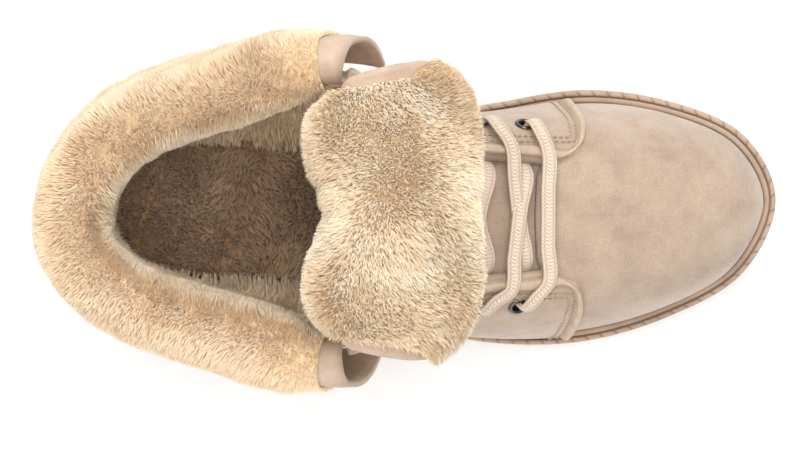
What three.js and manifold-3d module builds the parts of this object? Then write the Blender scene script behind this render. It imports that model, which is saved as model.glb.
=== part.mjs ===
// A fur-lined lace-up ankle boot for the right foot, collar and tongue folded down. Millimetres, +X to the toe,
// +Y to the inner side of the foot, +Z up. The origin is on the floor under the middle of the heel.
import * as THREE from "three";
import { mergeVertices } from "three/addons/utils/BufferGeometryUtils.js";
import Module from "manifold-3d";

const wasm = await Module();
wasm.setup();

// Driving dimensions
const soleLength = 275; // outsole, heel to toe
const ballWidth = 103; // outsole, across the ball
const heelCentre = 38.5; // from the back of the outsole to the origin
const foreSole = 19; // floor to the top of the outsole at the ball
const heelSole = 30; // floor to the top of the outsole at the heel
const treadDepth = 5;
const treadInset = 3.4; // tread blocks, from the edge of the outsole
const toeSpring = 8;
const archRise = 9;
const weltWidth = 5.2;
const weltThickness = 3;
const collarHeight = 119; // floor to the fold at the back
const instepHeight = 77; // floor to the end of the vamp, under the first lace
const wall = 2.4; // leather and its backing
const overlay = 1.5; // a panel sewn on the wall
const piping = 1.9; // rolled edge, above its panel
const clearance = 0.3;
const seam = 0.85; // gap under a panel or behind the fur
const pile = 8.5; // fur, to the body of the pile
const lockLength = 4;
const lockWidth = 13;
const flapDrop = 46; // folded collar, from the fold to its hem
const foldRadius = 6.6; // of the collar's fold, at its widest
const tongueWall = 3;
const tongueWidth = 96;
const insoleThickness = 6;
const laceWidth = 6.2;
const laceThickness = 1.4;
const eyeletRadius = 4.1;
const eyeletHole = 2.4;

const colours = {
  leather: 0xcdb59a,
  sole: 0xc9a98c,
  fur: 0xe0c8a4,
  footbed: 0x9a7656,
  lace: 0xdcc9ae,
  metal: 0x6b6460,
};

// Outsole edge, a row for each station round the boot from the heel (0) to the toe (9).
// along: share of soleLength. inner, outer: shares of ballWidth to each side of the axis.
const soleEdge = [
  { along: 0.0, inner: 0.0, outer: 0.0 },
  { along: 0.036, inner: 0.24, outer: 0.24 },
  { along: 0.13, inner: 0.345, outer: 0.345 },
  { along: 0.29, inner: 0.33, outer: 0.37 },
  { along: 0.44, inner: 0.33, outer: 0.455 },
  { along: 0.585, inner: 0.395, outer: 0.535 },
  { along: 0.72, inner: 0.449, outer: 0.531 },
  { along: 0.845, inner: 0.408, outer: 0.434 },
  { along: 0.952, inner: 0.281, outer: 0.262 },
  { along: 1.0, inner: 0.025, outer: -0.025 },
];

// Top edge of the upper at the same stations: collar fold (0 to 3), lacing (3 to 6), end of the vamp (6 to 9).
// along: share of soleLength. inner, outer: shares of ballWidth. up: share of collarHeight.
const topEdge = [
  { along: 0.021, inner: -0.015, outer: 0.015, up: 1.0 },
  { along: 0.08, inner: 0.275, outer: 0.24, up: 1.01 },
  { along: 0.22, inner: 0.43, outer: 0.375, up: 1.04 },
  { along: 0.38, inner: 0.515, outer: 0.445, up: 1.105 },
  { along: 0.462, inner: 0.27, outer: 0.275, up: 0.925 },
  { along: 0.56, inner: 0.228, outer: 0.24, up: 0.765 },
  { along: 0.652, inner: 0.2, outer: 0.222, up: 0.668 },
  { along: 0.65, inner: 0.125, outer: 0.15, up: 0.668 },
  { along: 0.648, inner: 0.055, outer: 0.08, up: 0.676 },
  { along: 0.647, inner: -0.012, outer: 0.012, up: 0.678 },
];

// Profile from the outsole up to the top edge, as two handles at each station.
// rise, lean: first handle, up (share of collarHeight) and outwards (share of ballWidth).
// reach, dip: second handle, outwards from the top edge (share of ballWidth) and down (share of collarHeight).
const profile = [
  { rise: 0.28, lean: 0.055, reach: -0.035, dip: 0.3 },
  { rise: 0.28, lean: 0.055, reach: -0.02, dip: 0.3 },
  { rise: 0.28, lean: 0.06, reach: -0.06, dip: 0.32 },
  { rise: 0.33, lean: 0.075, reach: -0.13, dip: 0.34 },
  { rise: 0.36, lean: 0.07, reach: 0.1, dip: 0.15 },
  { rise: 0.3, lean: 0.03, reach: 0.14, dip: 0.055 },
  { rise: 0.25, lean: 0.018, reach: 0.15, dip: 0.03 },
  { rise: 0.24, lean: 0.018, reach: 0.3, dip: 0.035 },
  { rise: 0.235, lean: 0.018, reach: 0.45, dip: 0.07 },
  { rise: 0.235, lean: 0.018, reach: 0.56, dip: 0.095 },
];

// Folded collar at the collar's stations. radius: share of foldRadius. flare: outward lean of the hanging flap, and
// tuck: how far its hem comes back in, as shares of the drop. back: lean of the fold's plane from the vertical.
const fold = [
  { radius: 0.64, flare: 0.1, tuck: 0.0, back: 0.0 },
  { radius: 0.64, flare: 0.1, tuck: 0.0, back: 0.0 },
  { radius: 0.67, flare: 0.11, tuck: 0.04, back: 0.06 },
  { radius: 1.0, flare: 0.16, tuck: 0.38, back: 0.3 },
  { radius: 1.0, flare: 0.16, tuck: 0.38, back: 0.3 },
];

const stationsPerSide = soleEdge.length - 1;
const loopStations = 2 * stationsPerSide;
const collarEnd = 3; // station of the collar's front corner
// Lacing rows, from the toe. inner, outer: share of the profile from the top edge down to an eyelet's centre.
// ahead: stations by which the lace has gone forward where it leaves the panel.
const lacing = [
  { station: 5.42, inner: 0.34, outer: 0.25, ahead: 0.55 },
  { station: 4.9, inner: 0.34, outer: 0.24, ahead: 0.5 },
  { station: 4.44, inner: 0.26, outer: 0.22, ahead: 0.3 },
  { station: 4.14, inner: 0.2, outer: 0.2, ahead: 0.15 },
];

const vec = (x, y, z) => new THREE.Vector3(x, y, z);
const mix = (a, b, t) => a + (b - a) * t;
const smooth = (t) => THREE.MathUtils.smoothstep(t, 0, 1);
const clamp01 = (t) => Math.min(1, Math.max(0, t));

// Value of a column at station u, through the rows on both sides of the boot by a cubic spline.
function atStation(rows, read, u) {
  const cell = Math.floor(u);
  const t = u - cell;
  const [a, b, c, d] = [-1, 0, 1, 2].map((k) => {
    const loop = (((cell + k) % loopStations) + loopStations) % loopStations;
    const outerSide = loop > stationsPerSide;
    const row = rows[Math.min(outerSide ? loopStations - loop : loop, rows.length - 1)];
    return read(row, outerSide);
  });
  return b + 0.5 * t * (c - a + t * (2 * a - 5 * b + 4 * c - d + t * (3 * (b - c) + d - a)));
}

const along = (rows, u) => atStation(rows, (row) => row.along, u) * soleLength - heelCentre;
const across = (rows, u) => atStation(rows, (row, outerSide) => (outerSide ? -row.outer : row.inner), u) * ballWidth;
const column = (rows, name, u) => atStation(rows, (row) => row[name], u);

const shareAlong = (x) => (x + heelCentre) / soleLength;

// Underside of the sole's body, above the tread: flat at heel and ball, raised at the arch, toe and heel tip.
function soleBottom(x) {
  const s = shareAlong(x);
  const arch = archRise * smooth((s - 0.29) / 0.05) * (1 - smooth((s - 0.34) / 0.16));
  const toe = toeSpring * Math.pow(clamp01((s - 0.74) / 0.26), 2);
  const heelTip = 2.5 * Math.pow(clamp01((0.05 - s) / 0.05), 2);
  return treadDepth + arch + toe + heelTip;
}

// Top of the sole, where the upper stands.
function soleTop(x) {
  const s = shareAlong(x);
  const heel = (heelSole - foreSole) * (1 - smooth((s - 0.22) / 0.36));
  return foreSole + heel + toeSpring * Math.pow(clamp01((s - 0.72) / 0.28), 2);
}

// Plan direction pointing outwards from an edge of the boot at station u.
function outwards(rows, u) {
  const step = 0.05;
  const dx = along(rows, u + step) - along(rows, u - step);
  const dy = across(rows, u + step) - across(rows, u - step);
  return vec(-dy, dx, 0).normalize();
}

// Point of the outsole's outline, moved in from its edge.
function outline(u, inset, z) {
  const out = outwards(soleEdge, u);
  return vec(along(soleEdge, u), across(soleEdge, u), z).addScaledVector(out, -inset);
}

function topPoint(u) {
  return vec(along(topEdge, u), across(topEdge, u), column(topEdge, "up", u) * collarHeight);
}

// Outer face of the leather at station u. w: 0 at the sole, 1 at the top edge, 1 to 1.35 round the collar's fold,
// and from there to 2 down the hanging flap.
const foldEnd = 1.35;
function leather(u, w) {
  const top = topPoint(u);
  if (w <= 1) {
    const foot = outline(u, weltWidth, 0);
    foot.z = soleTop(foot.x) + clearance;
    const out = outwards(soleEdge, u);
    const toFoot = vec(foot.x - top.x, foot.y - top.y, 0).normalize();
    const low = foot
      .clone()
      .addScaledVector(out, column(profile, "lean", u) * ballWidth)
      .setZ(foot.z + column(profile, "rise", u) * collarHeight);
    const high = top
      .clone()
      .addScaledVector(toFoot, column(profile, "reach", u) * ballWidth)
      .setZ(top.z - column(profile, "dip", u) * collarHeight);
    return new THREE.CubicBezierCurve3(foot, low, high, top).getPoint(w);
  }
  const radius = column(fold, "radius", u) * foldRadius;
  const back = column(fold, "back", u);
  const out = outwards(topEdge, u);
  const up = vec(-Math.sin(back), 0, Math.cos(back));
  if (w <= foldEnd) {
    const turn = (Math.PI * (w - 1)) / (foldEnd - 1);
    return top
      .addScaledVector(out, radius * (1 - Math.cos(turn)))
      .addScaledVector(up, radius * Math.sin(turn));
  }
  const t = (w - foldEnd) / (2 - foldEnd);
  const sideways = flapDrop * (column(fold, "flare", u) * t - column(fold, "tuck", u) * t * t);
  return top.addScaledVector(out, 2 * radius + sideways).addScaledVector(up, -flapDrop * t);
}

// Direction out of the leather's outer face.
function leatherNormal(u, w) {
  const step = 0.02;
  const lowW = Math.max(0, w - step);
  const highW = Math.min(2, w + step);
  const alongU = leather(u + step, w).sub(leather(u - step, w));
  const alongW = leather(u, highW).sub(leather(u, lowW));
  return alongU.cross(alongW).normalize().negate();
}

const shifted = (u, w, offset) => leather(u, w).addScaledVector(leatherNormal(u, w), offset);

function signedVolume(vertices, faces) {
  const at = (i) => vec(...vertices[i]);
  return faces.reduce((sum, [a, b, c]) => sum + at(a).dot(at(b).cross(at(c))) / 6, 0);
}

// A solid of the library from points and triangles, turned so that its faces point out.
function toSolid(vertices, faces) {
  const outward = signedVolume(vertices, faces) > 0;
  const triangles = outward ? faces : faces.map(([a, b, c]) => [a, c, b]);
  const flat = new THREE.BufferGeometry();
  flat.setAttribute("position", new THREE.Float32BufferAttribute(vertices.flat(), 3));
  flat.setIndex(triangles.flat());
  const merged = mergeVertices(flat, 1e-4);
  const clean = [];
  const index = merged.index.array;
  for (let i = 0; i < index.length; i += 3) {
    const [a, b, c] = [index[i], index[i + 1], index[i + 2]];
    if (a !== b && b !== c && a !== c) clean.push(a, b, c);
  }
  return new wasm.Manifold(
    new wasm.Mesh({
      numProp: 3,
      vertProperties: new Float32Array(merged.attributes.position.array),
      triVerts: new Uint32Array(clean),
    }),
  );
}

function toGeometry(solid) {
  const mesh = solid.getMesh();
  const geometry = new THREE.BufferGeometry();
  const position = new Float32Array(mesh.numVert * 3);
  for (let i = 0; i < mesh.numVert; i++)
    for (let k = 0; k < 3; k++) position[3 * i + k] = mesh.vertProperties[i * mesh.numProp + k];
  geometry.setAttribute("position", new THREE.BufferAttribute(position, 3));
  geometry.setIndex(new THREE.BufferAttribute(new Uint32Array(mesh.triVerts), 1));
  return geometry;
}

// A closed sheet between two grids of points, near(i, j) and far(i, j). hasCell(i, j) says which cells exist.
function sheet(columns, rows, wraps, near, far, hasCell = () => true) {
  const vertices = [];
  const faces = [];
  const seen = new Map();
  const corner = (i, j, side) => {
    const column = wraps ? i % columns : i;
    const key = `${column},${j},${side}`;
    if (!seen.has(key)) {
      const p = side ? far(column, j) : near(column, j);
      seen.set(key, vertices.push([p.x, p.y, p.z]) - 1);
    }
    return seen.get(key);
  };
  const cellColumns = wraps ? columns : columns - 1;
  const exists = (i, j) => {
    const column = wraps ? (i + columns) % columns : i;
    return column >= 0 && column < cellColumns && j >= 0 && j < rows - 1 && hasCell(column, j);
  };
  for (let i = 0; i < cellColumns; i++)
    for (let j = 0; j < rows - 1; j++) {
      if (!exists(i, j)) continue;
      const around = [[i, j], [i + 1, j], [i + 1, j + 1], [i, j + 1]];
      const [a, b, c, d] = around.map(([p, q]) => corner(p, q, 0));
      const [e, f, g, h] = around.map(([p, q]) => corner(p, q, 1));
      faces.push([a, b, c], [a, c, d], [e, g, f], [e, h, g]);
      const beside = [[i, j - 1], [i + 1, j], [i, j + 1], [i - 1, j]];
      const nearEdge = [a, b, c, d];
      const farEdge = [e, f, g, h];
      beside.forEach(([p, q], k) => {
        if (exists(p, q)) return;
        const n = (k + 1) % 4;
        faces.push([nearEdge[n], nearEdge[k], farEdge[k]], [nearEdge[n], farEdge[k], farEdge[n]]);
      });
    }
  return toSolid(vertices, faces);
}

// A closed body through rings of points, each ring a list going round, with ends closed chord by chord.
function stack(rings) {
  const count = rings[0].length;
  const vertices = rings.flat().map((p) => [p.x, p.y, p.z]);
  const faces = [];
  const last = rings.length - 1;
  for (let r = 0; r < last; r++)
    for (let i = 0; i < count; i++) {
      const n = (i + 1) % count;
      const [a, b, c, d] = [r * count + i, r * count + n, (r + 1) * count + n, (r + 1) * count + i];
      faces.push([a, b, c], [a, c, d]);
    }
  for (const [ring, turned] of [[0, true], [last, false]])
    for (let i = 0; i < count / 2; i++) {
      const left = ring * count + i;
      const leftNext = left + 1;
      const right = ring * count + ((count - i) % count);
      const rightNext = ring * count + (count - i - 1);
      for (const face of [[left, leftNext, rightNext], [left, rightNext, right]])
        if (new Set(face).size === 3) faces.push(turned ? [face[0], face[2], face[1]] : face);
    }
  return toSolid(vertices, faces);
}

const soleColumns = 54; // even, so that each chord joins two points of the outline
const soleStation = (i) => (i * loopStations) / soleColumns;

// Side of the outsole from its underside to its top: share of its height, and how far it is set in.
const soleSide = [
  { height: 0.0, inset: 2.0 },
  { height: 0.62, inset: 0.0 },
  { height: 0.66, inset: 1.3 },
  { height: 0.76, inset: 1.3 },
  { height: 0.8, inset: 0.0 },
  { height: 1.0, inset: 0.0 },
];

function outsoleBody() {
  const rings = soleSide.map(({ height, inset }) =>
    Array.from({ length: soleColumns }, (_, i) => {
      const p = outline(soleStation(i), inset, 0);
      return p.setZ(mix(soleBottom(p.x), soleTop(p.x), height));
    }),
  );
  return stack(rings);
}

// One block of the tread between two stations and two shares across the sole, counted from the inner edge.
function lug(from, to, inner, outer) {
  const rootDepth = 0.24 * treadDepth;
  const taper = 0.035;
  const corner = (u, share, z) => {
    const left = outline(u, treadInset, 0);
    const right = outline(loopStations - u, treadInset, 0);
    const p = left.lerp(right, share);
    const body = soleBottom(p.x);
    return p.setZ(z ? body + rootDepth : body - treadDepth);
  };
  const ring = (z) => {
    const grow = z ? taper * 0.5 : 0;
    return [
      corner(from - grow, inner - grow, z),
      corner(to + grow, inner - grow, z),
      corner(to + grow, outer + grow, z),
      corner(from - grow, outer + grow, z),
    ];
  };
  const vertices = [...ring(0), ...ring(1)].map((p) => [p.x, p.y, p.z]);
  const quads = [[0, 1, 2, 3], [7, 6, 5, 4], [0, 4, 5, 1], [1, 5, 6, 2], [2, 6, 7, 3], [3, 7, 4, 0]];
  return toSolid(vertices, quads.flatMap(([a, b, c, d]) => [[a, b, c], [a, c, d]]));
}

// Rows of tread blocks, by station: five under the heel, then the forefoot's.
const lugRows = [
  { from: 0.75, to: 1.25 },
  { from: 1.42, to: 1.82 },
  { from: 1.96, to: 2.26 },
  { from: 2.4, to: 2.62 },
  { from: 2.74, to: 2.93 },
  { from: 4.55, to: 4.85 },
  { from: 5.02, to: 5.34 },
  { from: 5.52, to: 5.86 },
  { from: 6.04, to: 6.4 },
  { from: 6.58, to: 6.98 },
  { from: 7.16, to: 7.6 },
  { from: 7.8, to: 8.3 },
];
const lugSpans = [
  { inner: 0.02, outer: 0.27 },
  { inner: 0.34, outer: 0.66 },
  { inner: 0.73, outer: 0.98 },
];

function outsole() {
  let body = outsoleBody();
  for (const row of lugRows)
    for (const span of lugSpans) body = body.add(lug(row.from, row.to, span.inner, span.outer));
  return body;
}

// Moulded strip on the outsole's edge, round the foot of the upper.
function welt() {
  const slices = soleColumns;
  const section = [
    { share: 0, z: 0 },
    { share: 1, z: 0 },
    { share: 1, z: 0.55 },
    { share: 0.75, z: 1 },
    { share: 0, z: 0.85 },
  ];
  const vertices = [];
  const faces = [];
  const lift = overlay + 2 * clearance;
  for (let i = 0; i < slices; i++) {
    const u = (i * loopStations) / slices;
    const outer = outline(u, 0.3, 0);
    const inner = outline(u, weltWidth - lift - 0.6, 0);
    for (const { share, z } of section) {
      const p = inner.clone().lerp(outer, share);
      vertices.push([p.x, p.y, soleTop(p.x) + clearance + z * weltThickness]);
    }
  }
  const ring = section.length;
  for (let i = 0; i < slices; i++)
    for (let k = 0; k < ring; k++) {
      const n = ((i + 1) % slices) * ring;
      const next = (k + 1) % ring;
      const [a, b, c, d] = [i * ring + k, i * ring + next, n + next, n + k];
      faces.push([a, b, c], [a, c, d]);
    }
  return toSolid(vertices, faces);
}

// Footbed inside the upper.
function insole() {
  const inset = weltWidth + wall + 1;
  const levels = [
    { z: 3 * clearance, more: 0 },
    { z: insoleThickness * 0.7, more: 0 },
    { z: insoleThickness, more: 2.2 },
  ];
  const count = soleColumns;
  const rings = levels.map(({ z, more }) =>
    Array.from({ length: count }, (_, i) => {
      const p = outline((i * loopStations) / count, inset + more, 0);
      return p.setZ(soleTop(p.x) + z);
    }),
  );
  return stack(rings);
}

// The upper's grid: columns to a station, and rows up the foot, round the fold and down the flap.
const perStation = 3;
const bodyRows = [0, 0.1, 0.22, 0.37, 0.53, 0.7, 0.86, 1];
const flapRows = [1.12, 1.235, foldEnd, 1.5, 1.67, 1.84, 2];
const upperRows = [...bodyRows, ...flapRows];
const columnsBetween = (from, to) => {
  const first = Math.floor(from * perStation + 1e-6) + 1;
  const length = Math.ceil(to * perStation - 1e-6) - first;
  const inside = Array.from({ length }, (_, k) => (first + k) / perStation);
  return [from, ...inside, to];
};

// Point off the upper's faceted face, so that what lies on the upper keeps an even gap.
function facet(u, w, offset) {
  const j = Math.min(upperRows.length - 2, upperRows.findLastIndex((row) => row <= w));
  const left = Math.floor(u * perStation + 1e-9);
  const s = u * perStation - left;
  const t = (w - upperRows[j]) / (upperRows[j + 1] - upperRows[j]);
  const at = (i, k) => shifted((left + i) / perStation, upperRows[j + k], offset);
  const [a, b, c, d] = [at(0, 0), at(1, 0), at(1, 1), at(0, 1)];
  if (t <= s) return a.multiplyScalar(1 - s).addScaledVector(b, s - t).addScaledVector(c, t);
  return a.multiplyScalar(1 - t).addScaledVector(c, s).addScaledVector(d, t - s);
}

function upper() {
  const inCollar = (i) => {
    const u = (i + 0.5) / perStation;
    return u < collarEnd || u > loopStations - collarEnd;
  };
  const body = sheet(
    loopStations * perStation,
    upperRows.length,
    true,
    (i, j) => leather(i / perStation, upperRows[j]),
    (i, j) => shifted(i / perStation, upperRows[j], -wall),
    (i, j) => j < bodyRows.length - 1 || inCollar(i),
  );
  return eyelets.reduce((solid, eyelet) => solid.subtract(eyelet.hole), body);
}

// A panel sewn on the upper, through the places that place(column, row) gives as station, w and height.
function panel(columns, rows, place) {
  const point = (i, j, raised) => {
    const { u, w, height } = place(columns[i], rows[j]);
    return facet(u, w, seam + (raised ? overlay + height : 0));
  };
  const outer = (i, j) => point(i, j, true);
  const under = (i, j) => point(i, j, false);
  return sheet(columns.length, rows.length, false, outer, under);
}

// Lacing panel: straight to station facingBend, and from there a share of the way to its own front edge, which
// runs forward as it rises.
const facingFrom = 3;
const facingBend = 16 / 3;
const facingFoot = 0.06;
const facingFront = (w) => 5.86 + 0.8 * Math.pow(Math.max(0, w - facingFoot) / 0.72, 2.2);
const facingTop = (share) => 0.985 - 0.205 * Math.pow(share, 2.4);

function facing(outerSide) {
  const place = ({ station, share }, row) => {
    const bend = mix(0.86, 0.53, smooth(share * 3));
    const top = facingTop(share);
    const w = row <= bend ? row : bend + ((row - bend) / (1 - bend)) * (top - bend);
    const s = mix(station, facingFront(w), share);
    const edge = Math.max(1 - smooth((top - w) / 0.06), 1 - smooth((1 - share) / 0.07));
    return { u: outerSide ? loopStations - s : s, w, height: piping * edge };
  };
  const straight = columnsBetween(facingFrom, facingBend).map((station) => ({ station, share: 0 }));
  const front = [0.3, 0.6, 0.93, 1].map((share) => ({ station: facingBend, share }));
  const columns = [...straight, ...front];
  const rows = [facingFoot, 0.1, 0.22, 0.37, 0.53, 0.7, 0.86, 0.94, 1];
  const plate = panel(outerSide ? columns.reverse() : columns, rows, place);
  return eyelets
    .filter((eyelet) => eyelet.facing && eyelet.outerSide === outerSide)
    .reduce((solid, eyelet) => solid.subtract(eyelet.hole), plate);
}

function heelCounter() {
  const reach = 5 / 3;
  const bend = 0.22;
  const rows = [0.06, 0.1, bend, 0.37, 0.53];
  const last = rows[rows.length - 1];
  const place = (u, row) => {
    const top = 0.5 - 0.16 * smooth(Math.abs(u) / reach);
    const share = Math.max(0, (row - bend) / (last - bend));
    return { u, w: Math.min(row, bend) + share * (top - bend), height: 0 };
  };
  return panel(columnsBetween(-reach, reach), rows, place);
}

// Frame of an eyelet: its centre on the outer face and the direction out of it.
function eyeletAt(u, w, onFacing, outerSide) {
  const centre = leather(u, w);
  const out = leatherNormal(u, w);
  const turn = new THREE.Quaternion().setFromUnitVectors(vec(0, 0, 1), out);
  const seat = onFacing ? seam + overlay : seam;
  const placed = (geometry) => {
    geometry.rotateX(Math.PI / 2);
    geometry.applyQuaternion(turn);
    geometry.translate(centre.x, centre.y, centre.z);
    geometry.deleteAttribute("uv");
    geometry.deleteAttribute("normal");
    const merged = mergeVertices(geometry, 1e-4);
    const list = Array.from(merged.attributes.position.array);
    const points = Array.from({ length: list.length / 3 }, (_, i) => list.slice(3 * i, 3 * i + 3));
    const index = Array.from(merged.index.array);
    const faces = Array.from({ length: index.length / 3 }, (_, i) => index.slice(3 * i, 3 * i + 3));
    return toSolid(points, faces);
  };
  const sides = 8;
  const holeSides = 6;
  const barrel = eyeletHole + 0.7;
  const holeLength = 2 * (wall + overlay + 3);
  const holeRadius = (barrel + clearance) / Math.cos(Math.PI / holeSides);
  const hole = placed(new THREE.CylinderGeometry(holeRadius, holeRadius, holeLength, holeSides));
  const flange = seat + 1.5 * clearance;
  const ring = [
    [eyeletHole, -wall],
    [barrel, -wall],
    [barrel, flange],
    [eyeletRadius, flange],
    [eyeletHole + 0.6, flange + 1],
    [eyeletHole, -wall],
  ].map(([r, h]) => new THREE.Vector2(r, h));
  const makeRing = () => placed(new THREE.LatheGeometry(ring, sides));
  return { u, w, centre, out, hole, makeRing, facing: onFacing, outerSide, seat: flange + 0.9 };
}

const collarEyelets = [{ w: 0.94 }, { w: 1.5 }]; // two more pairs, on the folded part
const collarEyeletStation = 2.62;
const eyelets = [];
for (const outerSide of [false, true]) {
  const place = (u) => (outerSide ? loopStations - u : u);
  for (const row of lacing) {
    const w = 1 - (outerSide ? row.outer : row.inner);
    eyelets.push(eyeletAt(place(row.station), w, true, outerSide));
  }
  for (const { w } of collarEyelets) eyelets.push(eyeletAt(place(collarEyeletStation), w, false, outerSide));
}

// Tapered lock of fur standing on a surface, leaning over with its tip.
function lockOf(root, out, lean, width, length) {
  const side = out.clone().cross(lean).normalize();
  const face = side.clone().cross(out).normalize();
  const sunk = 1.6;
  const base = root.clone().addScaledVector(out, -sunk);
  const middle = root.clone().addScaledVector(out, length * 0.45).addScaledVector(lean, length * 0.3);
  const tip = root.clone().addScaledVector(out, length * 0.8).addScaledVector(lean, length * 0.9);
  const ring = (centre, half) => [
    centre.clone().addScaledVector(side, half),
    centre.clone().addScaledVector(face, half),
    centre.clone().addScaledVector(side, -half),
    centre.clone().addScaledVector(face, -half),
  ];
  const points = [...ring(base, width / 2), ...ring(middle, width / 3), tip];
  const faces = [[0, 1, 2], [0, 2, 3]];
  for (let k = 0; k < 4; k++) {
    const n = (k + 1) % 4;
    faces.push([k, 4 + k, 4 + n], [k, 4 + n, n], [4 + k, 8, 4 + n]);
  }
  return toSolid(points.map((p) => [p.x, p.y, p.z]), faces);
}

// Fur of the collar: from inside the shaft, over the fold, down to the hem.
const furRows = [0.7, 0.86, 1, 1.12, 1.235, foldEnd, 1.5, 1.67, 1.84, 1.975];
const furTo = 2.8;

function pileDepth(u, w) {
  const hem = smooth((2 - w) / 0.12);
  const lower = smooth((w - furRows[0]) / 0.1);
  const ends = smooth((furTo - Math.abs(u)) / 0.7);
  return pile * (0.4 + 0.6 * Math.min(hem, lower, ends));
}

const furPoint = (u, w, depth) => shifted(u, w, -wall - seam - depth);

function collarFur() {
  const stations = columnsBetween(-furTo, furTo);
  let body = sheet(
    stations.length,
    furRows.length,
    false,
    (i, j) => furPoint(stations[i], furRows[j], pileDepth(stations[i], furRows[j])),
    (i, j) => facet(stations[i], furRows[j], -wall - seam),
  );
  const lockRows = [1.1, 1.42, 1.64, 1.86];
  const lockColumns = 11;
  lockRows.forEach((w, row) => {
    for (let k = 0; k < lockColumns; k++) {
      const u = mix(-furTo, furTo, (k + 0.5 + (row % 2) * 0.5 - 0.25) / lockColumns);
      const root = furPoint(u, w, pileDepth(u, w));
      const out = leatherNormal(u, w).negate();
      const next = furPoint(u, Math.min(1.99, w + 0.03), pile);
      const lean = next.sub(furPoint(u, w, pile)).normalize();
      const drift = Math.sin(3.7 * k + 1.9 * row) * 0.4;
      lean.addScaledVector(vec(out.y, -out.x, 0), drift).normalize();
      body = body.add(lockOf(root, out, lean, lockWidth * (1 + 0.15 * Math.sin(k + row)), lockLength));
    }
  });
  return eyelets
    .filter((eyelet) => !eyelet.facing)
    .reduce((solid, eyelet) => solid.subtract(eyelet.hole), body);
}

// Tongue: its lower part lies under the lacing edges, from pairs of points of the upper's own face.
// t: 0 at its root under the vamp, 1 at the last lacing row; above that it bends over and falls forwards.
const tongueTuck = 0.12; // share of the profile that lies under each lacing edge
const tongueRootStation = 6.2;
const tongueTopStation = 4.05;

function tonguePair(u) {
  const under = -wall - 6 * clearance;
  return [u, loopStations - u].map((side) => {
    const point = shifted(side, 1 - tongueTuck, under);
    const rise = shifted(side, 1, under - clearance).sub(point);
    rise.x *= smooth((tongueRootStation - u) / 0.8);
    return { point, rise: rise.normalize() };
  });
}

// Point across the tongue between the two lacing edges, side from 0 (inner) to 1 (outer), lowered by depth.
function tongueBridge(u, side, depth) {
  const [inner, outer] = tonguePair(u);
  const span = inner.point.distanceTo(outer.point);
  const handle = span * mix(0.12, 0.34, smooth((tongueRootStation - u) / 1.1));
  const curve = new THREE.CubicBezierCurve3(
    inner.point,
    inner.point.clone().addScaledVector(inner.rise, handle),
    outer.point.clone().addScaledVector(outer.rise, handle),
    outer.point,
  );
  const p = curve.getPoint(side);
  const tangent = curve.getTangent(side);
  const ahead = vec(1, 0, -0.55).normalize();
  const normal = tangent.cross(ahead).normalize();
  if (normal.z < 0) normal.negate();
  return p.addScaledVector(normal, -depth);
}

// Path of the tongue above the lacing, in its own plane: forward and up from the end of its lower part.
// ahead, up, aside: shares of tongueWidth. wide: share of tongueWidth. droop: fall of its sides, share of its half
// width. sweep: how far its two lobes lie ahead of its middle, share of tongueWidth.
const tonguePath = [
  { ahead: -0.1, up: 0.13, aside: 0.0, wide: 0.58, droop: 0.16, sweep: 0.0 },
  { ahead: -0.17, up: 0.28, aside: 0.02, wide: 0.78, droop: 0.13, sweep: -0.05 },
  { ahead: -0.2, up: 0.41, aside: 0.04, wide: 0.93, droop: 0.12, sweep: -0.1 },
  { ahead: -0.17, up: 0.5, aside: 0.05, wide: 1.03, droop: 0.12, sweep: -0.09 },
  { ahead: -0.07, up: 0.53, aside: 0.055, wide: 1.09, droop: 0.14, sweep: -0.04 },
  { ahead: 0.04, up: 0.49, aside: 0.055, wide: 1.13, droop: 0.18, sweep: 0.02 },
  { ahead: 0.14, up: 0.4, aside: 0.055, wide: 1.14, droop: 0.24, sweep: 0.05 },
  { ahead: 0.21, up: 0.3, aside: 0.055, wide: 1.05, droop: 0.28, sweep: 0.06 },
];

const tongueLowRows = 7;
const tongueSteps = 9;

function tongueCentre(k) {
  const end = tongueBridge(tongueTopStation, 0.5, 0);
  const row = tonguePath[k];
  const fromEnd = vec(row.ahead, row.aside, row.up).multiplyScalar(tongueWidth);
  return fromEnd.add(vec(end.x, end.y * (1 - 0.6 * (k / 7)), end.z));
}

// Face of the tongue that is its back below the bend and lies on top after it, moved off it by offset.
function tongueUpper(k, side, offset) {
  const here = tongueCentre(k);
  const last = tonguePath.length - 1;
  const before = k ? tongueCentre(k - 1) : tongueBridge(tongueTopStation, 0.5, 0);
  const after = k < last ? tongueCentre(k + 1) : here.clone().multiplyScalar(2).sub(before);
  const run = after.clone().sub(before).normalize();
  const faceOut = vec(-run.z, 0, run.x);
  const across = 1 - 2 * side;
  const row = tonguePath[k];
  const half = (row.wide * tongueWidth) / 2;
  const lobe = Math.pow(Math.sin((Math.PI * across) / 1.3), 2);
  const arch = row.droop * half * across * across;
  const slope = Math.atan(2 * row.droop * across);
  const away = faceOut.clone().multiplyScalar(Math.cos(slope)).add(vec(0, Math.sin(slope), 0));
  return here
    .add(vec(row.sweep * tongueWidth * lobe, across * half * Math.cos(slope * 0.5), 0))
    .addScaledVector(faceOut, -arch)
    .addScaledVector(away, offset + tongueWall);
}

function tonguePoint(row, step, offset) {
  const side = step / (tongueSteps - 1);
  if (row < tongueLowRows) {
    const u = mix(tongueRootStation, tongueTopStation, row / (tongueLowRows - 1));
    return tongueBridge(u, side, tongueWall + offset);
  }
  return tongueUpper(row - tongueLowRows, side, offset);
}

function tongue() {
  return sheet(
    tongueLowRows + tonguePath.length,
    tongueSteps,
    false,
    (row, step) => tonguePoint(row, step, 0),
    (row, step) => tonguePoint(row, step, -tongueWall),
  );
}

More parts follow.
